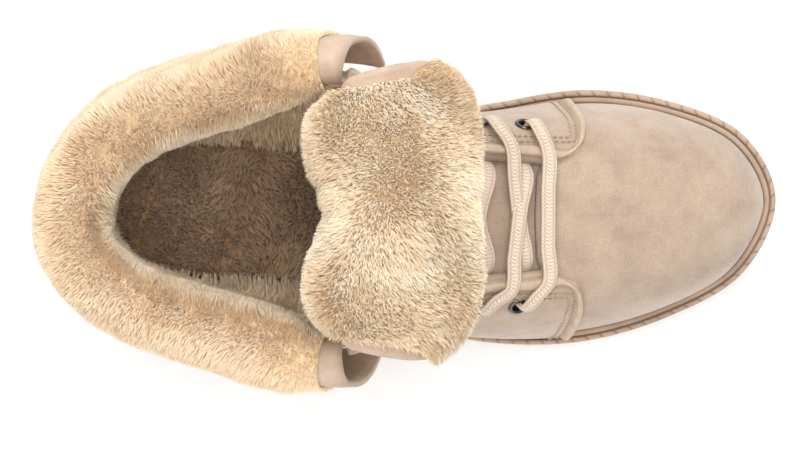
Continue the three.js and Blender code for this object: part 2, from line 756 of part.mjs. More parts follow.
// Fur on the tongue's other face: on the foot's side below the bend, on top after it.
function tongueFur() {
  const first = tongueLowRows;
  const rows = tongueLowRows + tonguePath.length;
  const depth = (row, step) => {
    const side = step / (tongueSteps - 1);
    const edge = smooth(Math.min(side, 1 - side) / 0.12);
    const end = smooth(Math.min(row - first, rows - 1 - row) / 1.2);
    return pile * (0.25 + 0.75 * Math.min(edge, end));
  };
  const inset = (step) => 0.06 * (tongueSteps - 1) + step * 0.88;
  const point = (row, step, off) => tonguePoint(row, inset(step), off);
  let body = sheet(
    rows - first,
    tongueSteps,
    false,
    (i, step) => point(i + first, step, seam),
    (i, step) => point(i + first, step, seam + depth(i + first, step)),
  );
  for (let row = tongueLowRows + 2; row < rows - 1; row++)
    for (let k = 1; k < tongueSteps - 1; k += 1.8) {
      const step = k + (row % 2) * 0.5;
      const root = point(row, step, seam + pile);
      const out = root.clone().sub(point(row, step, seam)).normalize();
      const lean = point(row + 1, step, seam + pile).sub(root).normalize();
      body = body.add(lockOf(root, out, lean, lockWidth, lockLength));
    }
  return body;
}

// Flat lace following points, with its flat side turned to facing(i), the direction out of the boot there.
function ribbon(points, outs) {
  const last = points.length - 1;
  const rings = points.map((p, i) => {
    const run = points[Math.min(last, i + 1)].clone().sub(points[Math.max(0, i - 1)]).normalize();
    const wide = run.clone().cross(outs[i]).normalize();
    const thick = wide.clone().cross(run).normalize();
    return [[-1, -1], [1, -1], [1, 1], [-1, 1]].map(([a, b]) =>
      p.clone().addScaledVector(wide, (a * laceWidth) / 2).addScaledVector(thick, (b * laceThickness) / 2),
    );
  });
  return stack(rings);
}

// Strand of the lacing between two of its rows. An end goes down into its eyelet from the top, or comes out from
// under the edge of its panel, underEdge stations ahead of its row. lift raises the strand between its ends.
const underEdge = 0.25;

function strand(from, to, lift) {
  const steps = 18;
  const over = seam + overlay + piping + laceThickness + clearance * (1.6 + Math.max(from.row, to.row));
  const ends = [from, to].map(({ row, outerSide, under }) => {
    const sideOf = (u) => (outerSide ? loopStations - u : u);
    const { station, inner, outer, ahead } = lacing[row];
    const w = 1 - (outerSide ? outer : inner);
    const u = sideOf(station);
    const out = leatherNormal(u, w);
    if (under) {
      const hidden = shifted(sideOf(station + underEdge), 1, laceThickness * 0.3);
      hidden.add(vec(0, outerSide ? 5 : -5, 0));
      return { path: [hidden], edge: hidden, out };
    }
    const edge = shifted(sideOf(station + ahead), 1, over);
    const path = [shifted(u, w, over), shifted(sideOf(station + ahead / 2), (w + 1) / 2, over), edge];
    return { path, edge, out };
  });
  const [a, b] = ends;
  const middle = [0.3, 0.7].map((t) => a.edge.clone().lerp(b.edge, t).add(vec(0, 0, 1.2 + lift)));
  const curve = new THREE.CatmullRomCurve3([...a.path, ...middle, ...b.path.reverse()]);
  const points = curve.getPoints(steps);
  const outs = points.map((_, i) => {
    const t = i / steps;
    const side = t < 0.5 ? a.out : b.out;
    return side.clone().lerp(vec(0.45, 0, 0.9), 1 - Math.abs(2 * t - 1)).normalize();
  });
  return ribbon(points, outs);
}

function crossing(row) {
  const next = row + 1;
  const over = strand({ row, outerSide: false, under: true }, { row: next, outerSide: true }, laceThickness * (0.8 + row));
  const below = strand({ row: next, outerSide: false }, { row, outerSide: true, under: true }, laceThickness * row);
  return over.add(below);
}

const group = new THREE.Group();
const finishes = {
  leather: new THREE.MeshStandardMaterial({ color: colours.leather, roughness: 0.75, metalness: 0 }),
  sole: new THREE.MeshStandardMaterial({ color: colours.sole, roughness: 0.7, metalness: 0 }),
  fur: new THREE.MeshStandardMaterial({ color: colours.fur, roughness: 0.95, metalness: 0 }),
  footbed: new THREE.MeshStandardMaterial({ color: colours.footbed, roughness: 0.95, metalness: 0 }),
  lace: new THREE.MeshStandardMaterial({ color: colours.lace, roughness: 0.85, metalness: 0 }),
  metal: new THREE.MeshStandardMaterial({ color: colours.metal, roughness: 0.3, metalness: 1 }),
};

function place(name, solid, finish) {
  const mesh = new THREE.Mesh(toGeometry(solid), finishes[finish]);
  mesh.name = name;
  group.add(mesh);
}

place("outsole", outsole(), "sole");
place("welt", welt(), "sole");
place("insole", insole(), "footbed");
place("upper", upper(), "leather");
place("facing_inner", facing(false), "leather");
place("facing_outer", facing(true), "leather");
place("heel_counter", heelCounter(), "leather");
place("collar_fur", collarFur(), "fur");
place("tongue", tongue(), "leather");
place("tongue_fur", tongueFur(), "fur");
const bar = strand({ row: 0, outerSide: false }, { row: 0, outerSide: true }, laceThickness);
place("lace_bar", bar, "lace");
for (const row of [0, 1, 2]) place(`lace_crossing_${row + 1}`, crossing(row), "lace");
eyelets.forEach((eyelet, i) => {
  const side = eyelet.outerSide ? "outer" : "inner";
  place(`eyelet_${side}_${(i % 6) + 1}`, eyelet.makeRing(), "metal");
});

export default group;
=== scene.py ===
import math
import bmesh
import bpy
import numpy as np
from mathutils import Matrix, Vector, kdtree


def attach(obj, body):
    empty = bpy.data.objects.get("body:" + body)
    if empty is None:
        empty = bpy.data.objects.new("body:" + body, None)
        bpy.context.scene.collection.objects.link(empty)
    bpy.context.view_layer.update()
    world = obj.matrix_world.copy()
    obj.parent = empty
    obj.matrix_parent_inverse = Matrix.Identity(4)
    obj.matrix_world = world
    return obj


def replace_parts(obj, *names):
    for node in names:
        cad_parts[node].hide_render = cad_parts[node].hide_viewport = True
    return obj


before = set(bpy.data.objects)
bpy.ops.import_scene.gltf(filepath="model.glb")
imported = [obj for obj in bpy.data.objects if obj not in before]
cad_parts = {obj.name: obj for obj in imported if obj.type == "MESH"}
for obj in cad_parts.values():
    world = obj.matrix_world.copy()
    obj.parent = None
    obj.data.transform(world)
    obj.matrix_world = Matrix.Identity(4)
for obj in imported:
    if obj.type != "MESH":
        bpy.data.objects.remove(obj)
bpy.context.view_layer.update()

rng = np.random.default_rng(41)

# Sizes and tables of the boot, as in the part's source. Points are in mm until they become a mesh.
boot = {
    "soleLength": 275, "ballWidth": 103, "heelCentre": 38.5, "foreSole": 19, "heelSole": 30, "treadDepth": 5,
    "toeSpring": 8, "archRise": 9, "weltWidth": 5.2, "weltThickness": 3, "collarHeight": 119, "wall": 2.4,
    "overlay": 1.5, "piping": 1.9, "clearance": 0.3, "seam": 0.85, "treadInset": 3.4, "flapDrop": 46,
    "foldRadius": 6.6, "tongueWall": 3, "tongueWidth": 96, "insoleThickness": 6, "laceWidth": 6.2,
    "laceThickness": 1.4,
}
soleEdge = np.array([  # along, inner, outer
    [0.0, 0.0, 0.0], [0.036, 0.24, 0.24], [0.13, 0.345, 0.345], [0.29, 0.33, 0.37],
    [0.44, 0.33, 0.455], [0.585, 0.395, 0.535], [0.72, 0.449, 0.531], [0.845, 0.408, 0.434],
    [0.952, 0.281, 0.262], [1.0, 0.025, -0.025],
])
topEdge = np.array([  # along, inner, outer, up
    [0.021, -0.015, 0.015, 1.0], [0.08, 0.275, 0.24, 1.01], [0.22, 0.43, 0.375, 1.04],
    [0.38, 0.515, 0.445, 1.105], [0.462, 0.27, 0.275, 0.925], [0.56, 0.228, 0.24, 0.765],
    [0.652, 0.2, 0.222, 0.668], [0.65, 0.125, 0.15, 0.668], [0.648, 0.055, 0.08, 0.676],
    [0.647, -0.012, 0.012, 0.678],
])
profileRows = np.array([  # rise, lean, reach, dip
    [0.28, 0.055, -0.035, 0.3], [0.28, 0.055, -0.02, 0.3], [0.28, 0.06, -0.06, 0.32],
    [0.33, 0.075, -0.13, 0.34], [0.36, 0.07, 0.1, 0.15], [0.3, 0.03, 0.14, 0.055],
    [0.25, 0.018, 0.15, 0.03], [0.24, 0.018, 0.3, 0.035], [0.235, 0.018, 0.45, 0.07],
    [0.235, 0.018, 0.56, 0.095],
])
foldRows = np.array([  # radius, flare, tuck, back
    [0.64, 0.1, 0.0, 0.0], [0.64, 0.1, 0.0, 0.0], [0.67, 0.11, 0.04, 0.06],
    [1.0, 0.16, 0.38, 0.3], [1.0, 0.16, 0.38, 0.3],
])
# Lacing rows: station, inner and outer inset, stations by which the lace is ahead at the panel's edge
lacing = [(5.42, 0.34, 0.25, 0.55), (4.9, 0.34, 0.24, 0.5), (4.44, 0.26, 0.22, 0.3), (4.14, 0.2, 0.2, 0.15)]
foldEnd = 1.35
collarEnd = 3


def loopOf(rows, inner, outer=None):
    # A column of a table, going round the boot from the heel by the inner side.
    last = len(rows) - 1
    values = []
    for k in range(18):
        outerSide = k > 9
        row = rows[min(18 - k if outerSide else k, last)]
        values.append(-row[outer] if outerSide and outer is not None else row[inner])
    return np.array(values)


loops = {
    "soleAlong": loopOf(soleEdge, 0) * boot["soleLength"] - boot["heelCentre"],
    "soleAcross": loopOf(soleEdge, 1, 2) * boot["ballWidth"],
    "topAlong": loopOf(topEdge, 0) * boot["soleLength"] - boot["heelCentre"],
    "topAcross": loopOf(topEdge, 1, 2) * boot["ballWidth"],
    "topUp": loopOf(topEdge, 3) * boot["collarHeight"],
    "rise": loopOf(profileRows, 0) * boot["collarHeight"],
    "lean": loopOf(profileRows, 1) * boot["ballWidth"],
    "reach": loopOf(profileRows, 2) * boot["ballWidth"],
    "dip": loopOf(profileRows, 3) * boot["collarHeight"],
    "radius": loopOf(foldRows, 0) * boot["foldRadius"],
    "flare": loopOf(foldRows, 1),
    "tuck": loopOf(foldRows, 2),
    "back": loopOf(foldRows, 3),
}


def spline(a, b, c, d, t):
    # Smooth curve from b to c, with a and d as the values beyond them.
    return b + 0.5 * t * (c - a + t * (2 * a - 5 * b + 4 * c - d + t * (3 * (b - c) + d - a)))


def bezier(a, b, c, d, t):
    return a * (1 - t) ** 3 + b * 3 * t * (1 - t) ** 2 + c * 3 * t * t * (1 - t) + d * t ** 3


def at(name, u):
    cell = np.floor(u).astype(int)
    return spline(*(loops[name][(cell + k) % 18] for k in (-1, 0, 1, 2)), u - cell)


def lengthAlong(points):
    return np.concatenate([[0], np.cumsum(np.linalg.norm(np.diff(points, axis=0), axis=1))])


def smooth(t):
    t = np.clip(t, 0, 1)
    return t * t * (3 - 2 * t)


def unit(v):
    return v / np.maximum(np.linalg.norm(v, axis=-1, keepdims=True), 1e-9)


def joinXyz(x, y, z):
    return np.stack(np.broadcast_arrays(x, y, z), axis=-1).astype(float)


def outwards(edge, u):
    dx = at(edge + "Along", u + 0.05) - at(edge + "Along", u - 0.05)
    dy = at(edge + "Across", u + 0.05) - at(edge + "Across", u - 0.05)
    return unit(joinXyz(-dy, dx, 0 * dx))


def soleBottom(x):
    s = (x + boot["heelCentre"]) / boot["soleLength"]
    arch = boot["archRise"] * smooth((s - 0.29) / 0.05) * (1 - smooth((s - 0.34) / 0.16))
    toe = boot["toeSpring"] * np.clip((s - 0.74) / 0.26, 0, 1) ** 2
    heelTip = 2.5 * np.clip((0.05 - s) / 0.05, 0, 1) ** 2
    return boot["treadDepth"] + arch + toe + heelTip


def soleTop(x):
    s = (x + boot["heelCentre"]) / boot["soleLength"]
    heel = (boot["heelSole"] - boot["foreSole"]) * (1 - smooth((s - 0.22) / 0.36))
    return boot["foreSole"] + heel + boot["toeSpring"] * np.clip((s - 0.72) / 0.28, 0, 1) ** 2


def outline(u, inset):
    flat = joinXyz(at("soleAlong", u), at("soleAcross", u), 0 * u)
    return flat - outwards("sole", u) * np.asarray(inset)[..., None]


def leather(u, w):
    # Outer face of the leather. w: 0 at the sole, 1 at the top edge, then by the fold to the flap's hem at 2.
    u, w = np.broadcast_arrays(np.asarray(u, float), np.asarray(w, float))
    top = joinXyz(at("topAlong", u), at("topAcross", u), at("topUp", u))
    foot = outline(u, np.full(u.shape, boot["weltWidth"]))
    foot[..., 2] = soleTop(foot[..., 0]) + boot["clearance"]
    toFoot = foot - top
    toFoot[..., 2] = 0
    toFoot = unit(toFoot)
    low = foot + outwards("sole", u) * at("lean", u)[..., None]
    low[..., 2] = foot[..., 2] + at("rise", u)
    high = top + toFoot * at("reach", u)[..., None]
    high[..., 2] = top[..., 2] - at("dip", u)
    t = np.clip(w, 0, 1)[..., None]
    body = bezier(foot, low, high, top, t)
    radius, back = at("radius", u), at("back", u)
    out = outwards("top", u)
    up = joinXyz(-np.sin(back), 0 * back, np.cos(back))
    turn = np.pi * np.clip((w - 1) / (foldEnd - 1), 0, 1)
    folded = top + out * (radius * (1 - np.cos(turn)))[..., None] + up * (radius * np.sin(turn))[..., None]
    down = np.clip((w - foldEnd) / (2 - foldEnd), 0, None)
    sideways = boot["flapDrop"] * (at("flare", u) * down - at("tuck", u) * down * down)
    hanging = folded + out * sideways[..., None] - up * (boot["flapDrop"] * down)[..., None]
    return np.where((w <= 1)[..., None], body, hanging)


def leatherNormal(u, w):
    u, w = np.broadcast_arrays(np.asarray(u, float), np.asarray(w, float))
    step = 0.02
    alongU = leather(u + step, w) - leather(u - step, w)
    alongW = leather(u, np.minimum(2, w + step)) - leather(u, np.maximum(0, w - step))
    return -unit(np.cross(alongU, alongW))


# Soft creases of the worn-in suede: side (1 inner, -1 outer, 0 both), its two ends as station and share up
# the profile, depth and half width in mm.
creases = [
    (1, (5.9, 0.62), (7.6, 0.86), 0.9, 4.5), (-1, (5.9, 0.6), (7.4, 0.88), 0.9, 4.5),
    (0, (6.9, 0.7), (9.0, 0.95), 0.6, 5.0), (1, (6.4, 0.35), (7.4, 0.6), 0.7, 5.5),
    (-1, (6.5, 0.3), (7.3, 0.62), 0.7, 5.5), (1, (4.0, 0.35), (5.2, 0.62), 1.0, 6.0),
    (-1, (4.0, 0.3), (5.1, 0.6), 1.0, 6.0), (1, (3.2, 0.5), (4.4, 0.72), 1.1, 6.0),
    (-1, (3.2, 0.5), (4.3, 0.7), 1.1, 6.0), (0, (1.2, 0.55), (2.8, 0.42), 0.9, 6.5),
    (0, (0.0, 0.62), (1.6, 0.7), 0.7, 6.0), (1, (8.2, 0.3), (8.9, 0.62), 0.4, 6.0),
    (-1, (8.0, 0.35), (8.8, 0.66), 0.4, 6.0),
]


def creased(u, w):
    side = np.where(np.mod(u, 18) <= 9, 1, -1)
    s = np.minimum(np.mod(u, 18), 18 - np.mod(u, 18))
    total = np.zeros(np.broadcast(u, w).shape)
    stationMm, profileMm = 32, 105
    px, py = s * stationMm, w * profileMm
    for which, a, b, depth, half in creases:
        ax, ay, bx, by = a[0] * stationMm, a[1] * profileMm, b[0] * stationMm, b[1] * profileMm
        length = (bx - ax) ** 2 + (by - ay) ** 2
        t = np.clip(((px - ax) * (bx - ax) + (py - ay) * (by - ay)) / length, 0, 1)
        away = np.hypot(px - ax - t * (bx - ax), py - ay - t * (by - ay) + 2 * np.sin(5 * t + ax))
        valley = np.exp(-((away / half) ** 2)) - 0.45 * np.exp(-(((away - 1.7 * half) / half) ** 2))
        fade = np.sin(np.pi * np.clip(t, 0.06, 0.94)) ** 0.7
        total = total - depth * valley * fade * np.where((which == 0) | (side == which), 1, 0)
    billow = 0.5 * np.sin(1.9 * s + 5.2 * w + side) * np.sin(7.3 * w - 0.8 * s + 0.4 * side)
    return (total + billow) * smooth(w / 0.12) * (1 - smooth((w - 0.86) / 0.1))


def shifted(u, w, offset):
    # The creased leather, moved out by offset in mm.
    return leather(u, w) + leatherNormal(u, w) * (offset + creased(u, w))[..., None]


# Making meshes
def ringFaces(rings, around, start=0, closed=False, capped=False):
    # Quads between rings of points. closed: the last ring meets the first. capped: both ends are filled.
    faces = []
    for i in range(rings if closed else rings - 1):
        here, ahead = start + i * around, start + (i + 1) % rings * around
        for k in range(around):
            m = (k + 1) % around
            faces.append([here + k, here + m, ahead + m, ahead + k])
    if capped:
        faces.append([start + k for k in reversed(range(around))])
        faces.append([start + (rings - 1) * around + k for k in range(around)])
    return faces


def treeOf(points):
    tree = kdtree.KDTree(len(points))
    for k, point in enumerate(points):
        tree.insert(Vector(point), k)
    tree.balance()
    return tree


def addValues(mesh, name, values):
    # One number a point, for a material to read.
    attribute = mesh.attributes.new(name, "FLOAT", "POINT")
    attribute.data.foreach_set("value", np.asarray(values, np.float32).ravel())


def addObject(name, data):
    thing = bpy.data.objects.new(name, data)
    bpy.context.scene.collection.objects.link(thing)
    return thing


def newMesh(name, points, faces):
    mesh = bpy.data.meshes.new(name)
    mesh.from_pydata((np.asarray(points).reshape(-1, 3) / 1000).tolist(), [], faces)
    return mesh


def turnOutwards(mesh, joined):
    # Makes all faces look outwards. joined: points in the same place become one.
    work = bmesh.new()
    work.from_mesh(mesh)
    if joined:
        bmesh.ops.remove_doubles(work, verts=work.verts, dist=1e-6)
    bmesh.ops.recalc_face_normals(work, faces=work.faces)
    work.to_mesh(mesh)
    work.free()
    mesh.shade_smooth()


def buildMesh(name, points, faces, material):
    mesh = newMesh(name, points, faces)
    mesh.validate()
    turnOutwards(mesh, True)
    return addPiece(mesh, material)


def addPiece(mesh, material):
    piece = addObject(mesh.name, mesh)
    mesh.materials.append(material)
    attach(piece, "root")
    return piece


def shellFaces(columns, rows, wraps, mask):
    # Faces of a closed sheet whose near grid comes first and its far grid after it.
    def vertex(i, j, far):
        return (i % columns if wraps else i) * rows + j + far * columns * rows

    def exists(i, j):
        if wraps:
            i %= mask.shape[0]
        return 0 <= i < mask.shape[0] and 0 <= j < mask.shape[1] and mask[i, j]

    faces = []
    for i in range(mask.shape[0]):
        for j in range(mask.shape[1]):
            if not mask[i, j]:
                continue
            around = [(i, j), (i + 1, j), (i + 1, j + 1), (i, j + 1)]
            faces.append([vertex(p, q, 0) for p, q in around])
            faces.append([vertex(p, q, 1) for p, q in reversed(around)])
            for k, (p, q) in enumerate([(i, j - 1), (i + 1, j), (i, j + 1), (i - 1, j)]):
                if not exists(p, q):
                    a, b = around[k], around[(k + 1) % 4]
                    faces.append([vertex(*b, 0), vertex(*a, 0), vertex(*a, 1), vertex(*b, 1)])
    return faces


def paintFaces(piece, points, chosen, material):
    # Gives another material to the faces nearest to the chosen points.
    tree = treeOf(points.reshape(-1, 3))
    piece.data.materials.append(material)
    flags = np.asarray(chosen).ravel()
    for polygon in piece.data.polygons:
        if flags[tree.find(polygon.center * 1000)[1]]:
            polygon.material_index = 1


def shell(name, near, far, material, wraps=False, mask=None):
    columns, rows = near.shape[:2]
    if mask is None:
        mask = np.ones((columns if wraps else columns - 1, rows - 1), bool)
    points = np.concatenate([near.reshape(-1, 3), far.reshape(-1, 3)])
    return buildMesh(name, points, shellFaces(columns, rows, wraps, mask), material)


# Materials
def linear(code):
    parts = [int(code[k:k + 2], 16) / 255 for k in (1, 3, 5)]
    return tuple(c / 12.92 if c <= 0.04045 else ((c + 0.055) / 1.055) ** 2.4 for c in parts) + (1,)


def addNode(tree, kind, settings=None, links=None):
    node = tree.nodes.new(kind)
    for key, value in (settings or {}).items():
        if isinstance(key, int) or key in node.inputs:
            node.inputs[key].default_value = value
        else:
            setattr(node, key, value)
    for key, source in (links or {}).items():
        tree.links.new(source, node.inputs[key])
    return node


def startMaterial(name, shading):
    material = bpy.data.materials.new(name)
    material.use_nodes = True
    tree = material.node_tree
    tree.nodes.clear()
    shader = addNode(tree, "ShaderNodeBsdfPrincipled", shading)
    addNode(tree, "ShaderNodeOutputMaterial", links={"Surface": shader.outputs[0]})
    place = addNode(tree, "ShaderNodeTexCoord").outputs["Object"]
    return material, tree, shader, place


def addNoise(tree, place, sizeMm, detail=3.0, rough=0.6):
    settings = {"Scale": 1000 / sizeMm, "Detail": detail, "Roughness": rough}
    return addNode(tree, "ShaderNodeTexNoise", settings, {"Vector": place}).outputs["Fac"]


def readValues(tree, name):
    return addNode(tree, "ShaderNodeAttribute", {"attribute_name": name}).outputs["Fac"]


def addRamp(tree, source, stops):
    ramp = addNode(tree, "ShaderNodeValToRGB", links={"Fac": source})
    elements = ramp.color_ramp.elements
    while len(elements) < len(stops):
        elements.new(0.5)
    for element, (position, code) in zip(elements, stops):
        element.position = position
        element.color = linear(code) if isinstance(code, str) else (code, code, code, 1)
    return ramp.outputs["Color"]


def colourBy(tree, shader, source, stops):
    tree.links.new(addRamp(tree, source, stops), shader.inputs["Base Color"])


def addBump(tree, shader, height, strength, depthMm, below=None):
    links = {"Height": height}
    if below:
        links["Normal"] = below
    bump = addNode(tree, "ShaderNodeBump", {"Strength": strength, "Distance": depthMm / 1000}, links)
    tree.links.new(bump.outputs[0], shader.inputs["Normal"])
    return bump.outputs[0]


suedeLook = {"dark": "#A99381", "middle": "#B8A18D", "light": "#C4AE99", "napMm": 16, "grainMm": 0.5}


def suede(name, look):
    # Split suede, sanded to a short nap: matt, with paler and darker strokes where the nap was brushed.
    material, tree, shader, place = startMaterial(name, {
        "Roughness": 0.92, "IOR": 1.45, "Specular IOR Level": 0.25, "Sheen Weight": 0.35,
        "Sheen Roughness": 0.5})
    strokes = addNoise(tree, place, look["napMm"], 5, 0.62)
    base = addRamp(tree, strokes, [(0.28, look["dark"]), (0.5, look["middle"]), (0.74, look["light"])])
    grain = addNoise(tree, place, look["grainMm"], 4, 0.7)
    speck = addRamp(tree, grain, [(0.3, "#B9B2AA"), (0.6, "#FFFFFF")])
    mixed = addNode(tree, "ShaderNodeMix", {"data_type": "RGBA", "blend_type": "MULTIPLY", "Factor": 0.5})
    tree.links.new(base, mixed.inputs[6])
    tree.links.new(speck, mixed.inputs[7])
    tree.links.new(mixed.outputs[2], shader.inputs["Base Color"])
    nap = addBump(tree, shader, addNoise(tree, place, 7, 4, 0.6), 0.18, 0.6)
    addBump(tree, shader, grain, 0.45, 0.25, nap)
    return material


furLook = {"root": "#DBBB90", "middle": "#EDD5B2", "tip": "#F8EAD4"}
# The tongue's pile is the collar's shearling painted lighter: painted light, for the flap that faces up into
# the lamps.
litTongueLook = {"root": "#E2C295", "middle": "#F4DEBC", "tip": "#FCF2E1"}


def furPile(name, look):
    # Polyester shearling, knitted as a pile and brushed into locks: matt, pale tips over darker roots.
    material, tree, shader, place = startMaterial(name, {
        "Roughness": 0.85, "IOR": 1.5, "Specular IOR Level": 0.2, "Sheen Weight": 0.25,
        "Sheen Roughness": 0.6})
    tone = readValues(tree, "tone")
    patches = addNoise(tree, place, 26, 3, 0.6)
    shading = {"operation": "MULTIPLY_ADD", 1: 0.5, 2: -0.25}
    shade = addNode(tree, "ShaderNodeMath", shading, {0: patches})
    level = addNode(tree, "ShaderNodeMath", {"operation": "ADD"}, {0: tone, 1: shade.outputs[0]})
    stops = [(0.05, look["root"]), (0.42, look["middle"]), (0.85, look["tip"])]
    colourBy(tree, shader, level.outputs[0], stops)
    return material


def pileBacking(name, look):
    # The knitted ground of the pile, as it shows between locks.
    material, tree, shader, place = startMaterial(name, {
        "Roughness": 0.95, "IOR": 1.5, "Specular IOR Level": 0.15})
    fluff = addNoise(tree, place, 2.2, 5, 0.7)
    colourBy(tree, shader, fluff, [(0.3, look["root"]), (0.6, look["middle"])])
    addBump(tree, shader, fluff, 0.8, 1.2)
    return material


# The "groove" colour is painted shade, for the welt's notches, groove and inner edge.
rubberLook = {"dark": "#A58D79", "middle": "#B49C87", "light": "#BCA48E", "groove": "#86705D"}


def moulded(name, look):
    # Thermoplastic rubber out of a sandblasted mould: satin, slightly clouded, with a fine grain.
    material, tree, shader, place = startMaterial(name, {
        "Roughness": 0.62, "IOR": 1.5, "Specular IOR Level": 0.35})
    clouds = addNoise(tree, place, 18, 4, 0.6)
    colour = addRamp(tree, clouds, [(0.3, look["dark"]), (0.5, look["middle"]), (0.72, look["light"])])
    # Painted shade: notches and grooves are darker, where the piece carries a "groove" value.
    groove = readValues(tree, "groove")
    settings = {"data_type": "RGBA", 7: linear(look["groove"])}
    mixed = addNode(tree, "ShaderNodeMix", settings, {0: groove, 6: colour})
    tree.links.new(mixed.outputs[2], shader.inputs["Base Color"])
    addBump(tree, shader, addNoise(tree, place, 0.6, 2, 0.5), 0.3, 0.12)
    return material


def woven(name, look):
    # Flat cotton-blend braid: threads of about 1.2 mm that cross on the slant, along the lace's own length.
    material, tree, shader, place = startMaterial(name, {
        "Roughness": 0.85, "IOR": 1.5, "Specular IOR Level": 0.2, "Sheen Weight": 0.15})
    # Painted shade: the hollows between the braid's threads are darker, as deep as its relief.
    weave_shade = readValues(tree, "weave_shade")
    fibre = addNoise(tree, place, 0.5, 3, 0.7)
    both = addNode(tree, "ShaderNodeMath", {"operation": "MULTIPLY_ADD", 1: 0.35}, {0: fibre, 2: weave_shade})
    stops = [(0.1, look["dark"]), (0.6, look["middle"]), (1.0, look["light"])]
    colourBy(tree, shader, both.outputs[0], stops)
    addBump(tree, shader, fibre, 0.5, 0.2)
    return material


def burnished(name, look):
    # Pressed brass, plated dark gunmetal and tumbled: soft highlights, worn paler in spots.
    material, tree, shader, place = startMaterial(name, {"Metallic": 1.0, "Roughness": 0.32})
    colourBy(tree, shader, addNoise(tree, place, 3, 4, 0.6), [(0.35, look["dark"]), (0.7, look["light"])])
    return material


def smoothLeather(name, look):
    # Pigmented split leather, rolled over a cord: finer and a little shinier than the suede beside it.
    material, tree, shader, place = startMaterial(name, {
        "Roughness": 0.6, "IOR": 1.5, "Specular IOR Level": 0.35})
    colourBy(tree, shader, addNoise(tree, place, 6, 4, 0.6), [(0.3, look["dark"]), (0.7, look["light"])])
    pebbleMm = 0.9
    settings = {"Scale": 1000 / pebbleMm, "feature": "SMOOTH_F1"}
    pebble = addNode(tree, "ShaderNodeTexVoronoi", settings, {"Vector": place})
    addBump(tree, shader, pebble.outputs["Distance"], 0.3, 0.2)
    return material


print("materials")
vampSuede = suede("vamp split suede, brushed", suedeLook)
panelSuede = suede("panel split suede, brushed", {**suedeLook, "napMm": 12})
bindingLeather = smoothLeather("binding leather, pigmented", {"dark": "#B69F8A", "light": "#C7B19C"})
collarPile = furPile("collar shearling pile, brushed", furLook)
collarBacking = pileBacking("collar shearling ground, knitted", furLook)
# Painted light: the tongue's copy of the pile is lighter than the collar's.
tonguePile = furPile("tongue shearling pile, brushed, painted lighter", litTongueLook)
footLook = {"root": "#8E6A4A", "middle": "#C7A17B", "tip": "#E3C7A3"}
footPile = furPile("footbed shearling pile, brushed", footLook)
footBacking = pileBacking("footbed shearling ground, knitted", footLook)
soleRubber = moulded("sole thermoplastic rubber, moulded", rubberLook)
laceBraid = woven("lace cotton braid, woven", {"dark": "#947C69", "middle": "#C6B09C", "light": "#DECDBB"})
threadCotton = woven("stitch thread, twisted", {"dark": "#7F6C55", "middle": "#9E8B73", "light": "#B9A88F"})
eyeletMetal = burnished("eyelet brass, gunmetal plated", {"dark": "#3E3835", "light": "#8C8580"})

# Upper: one sheet of suede with its fold and hanging flap
print("upper")
upperLook = {"perStation": 12, "bodyRows": 44, "foldRows": 10, "flapRows": 18}


def cutHoles(piece, cutters):
    # Takes the joined cutters out of a closed piece, and keeps the result as its mesh.
    points, faces = [], []
    for ring in cutters:
        faces += ringFaces(2, len(ring) // 2, len(points), capped=True)
        points += list(ring)
    cutter = addObject("cutter", newMesh("cutter", points, faces))
    hole = piece.modifiers.new("holes", "BOOLEAN")
    hole.object, hole.operation, hole.solver = cutter, "DIFFERENCE", "MANIFOLD"
    bpy.context.view_layer.update()
    cut = bpy.data.meshes.new_from_object(piece.evaluated_get(bpy.context.evaluated_depsgraph_get()))
    piece.modifiers.clear()
    # A failed cut leaves little or nothing. The piece then stays whole, and the output says so.
    if len(cut.polygons) > 0.5 * len(piece.data.polygons):
        piece.data = cut
    else:
        print("holes not cut in", piece.name)
    bpy.data.objects.remove(cutter)


holeMm = 2.9
collarStation, collarHeights = 2.62, (0.94, 1.5)


def eyeletFrames():
    # Station, w, whether on a panel, side and row of each eyelet. Each side has four in its panel, two above.
    frames = []
    for outerSide in (False, True):
        for row, (u, *insets, _) in enumerate(lacing):
            frames.append((18 - u if outerSide else u, 1 - insets[outerSide], True, outerSide, row))
        for row, w in enumerate(collarHeights):
            frames.append((18 - collarStation if outerSide else collarStation, w, False, outerSide, 4 + row))
    return frames


def frameOf(u, w):
    # Centre, outward direction and the two directions across it at one place of the leather.
    u, w = np.array([u]), np.array([w])
    centre, out = shifted(u, w, 0)[0], leatherNormal(u, w)[0]
    side = unit(np.cross(out, [0.0, 0.0, 1.0]))
    return centre, out, side, np.cross(out, side)


def holeTube(u, w, low, high):
    centre, out, side, other = frameOf(u, w)
    turn = np.linspace(0, 2 * np.pi, 24, endpoint=False)
    ring = holeMm * (np.cos(turn)[:, None] * side + np.sin(turn)[:, None] * other)
    return np.concatenate([centre + ring + out * low, centre + ring + out * high])


us = np.arange(18 * upperLook["perStation"]) / upperLook["perStation"]
ws = np.concatenate([
    np.linspace(0, 1, upperLook["bodyRows"] + 1),
    np.linspace(1, foldEnd, upperLook["foldRows"] + 1)[1:],
    np.linspace(foldEnd, 2, upperLook["flapRows"] + 1)[1:],
])
u, w = np.meshgrid(us, ws, indexing="ij")
cellMiddle = us + 0.5 / upperLook["perStation"]
inCollar = (cellMiddle < collarEnd) | (cellMiddle > 18 - collarEnd)
upperMask = inCollar[:, None] | (ws[:-1] < 1)[None, :]
face, back = shifted(u, w, 0), shifted(u, w, -boot["wall"])
upper = shell("upper_suede", face, back, vampSuede, True, upperMask)
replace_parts(upper, "upper")
frontBand = (np.abs(np.minimum(u, 18 - u) - 2.88) < 0.13) & (w > 0.9)
paintFaces(upper, shifted(u, w, -boot["wall"] / 2), frontBand, bindingLeather)
cutHoles(upper, [holeTube(a, b, -9, 9) for a, b, *_ in eyeletFrames()])


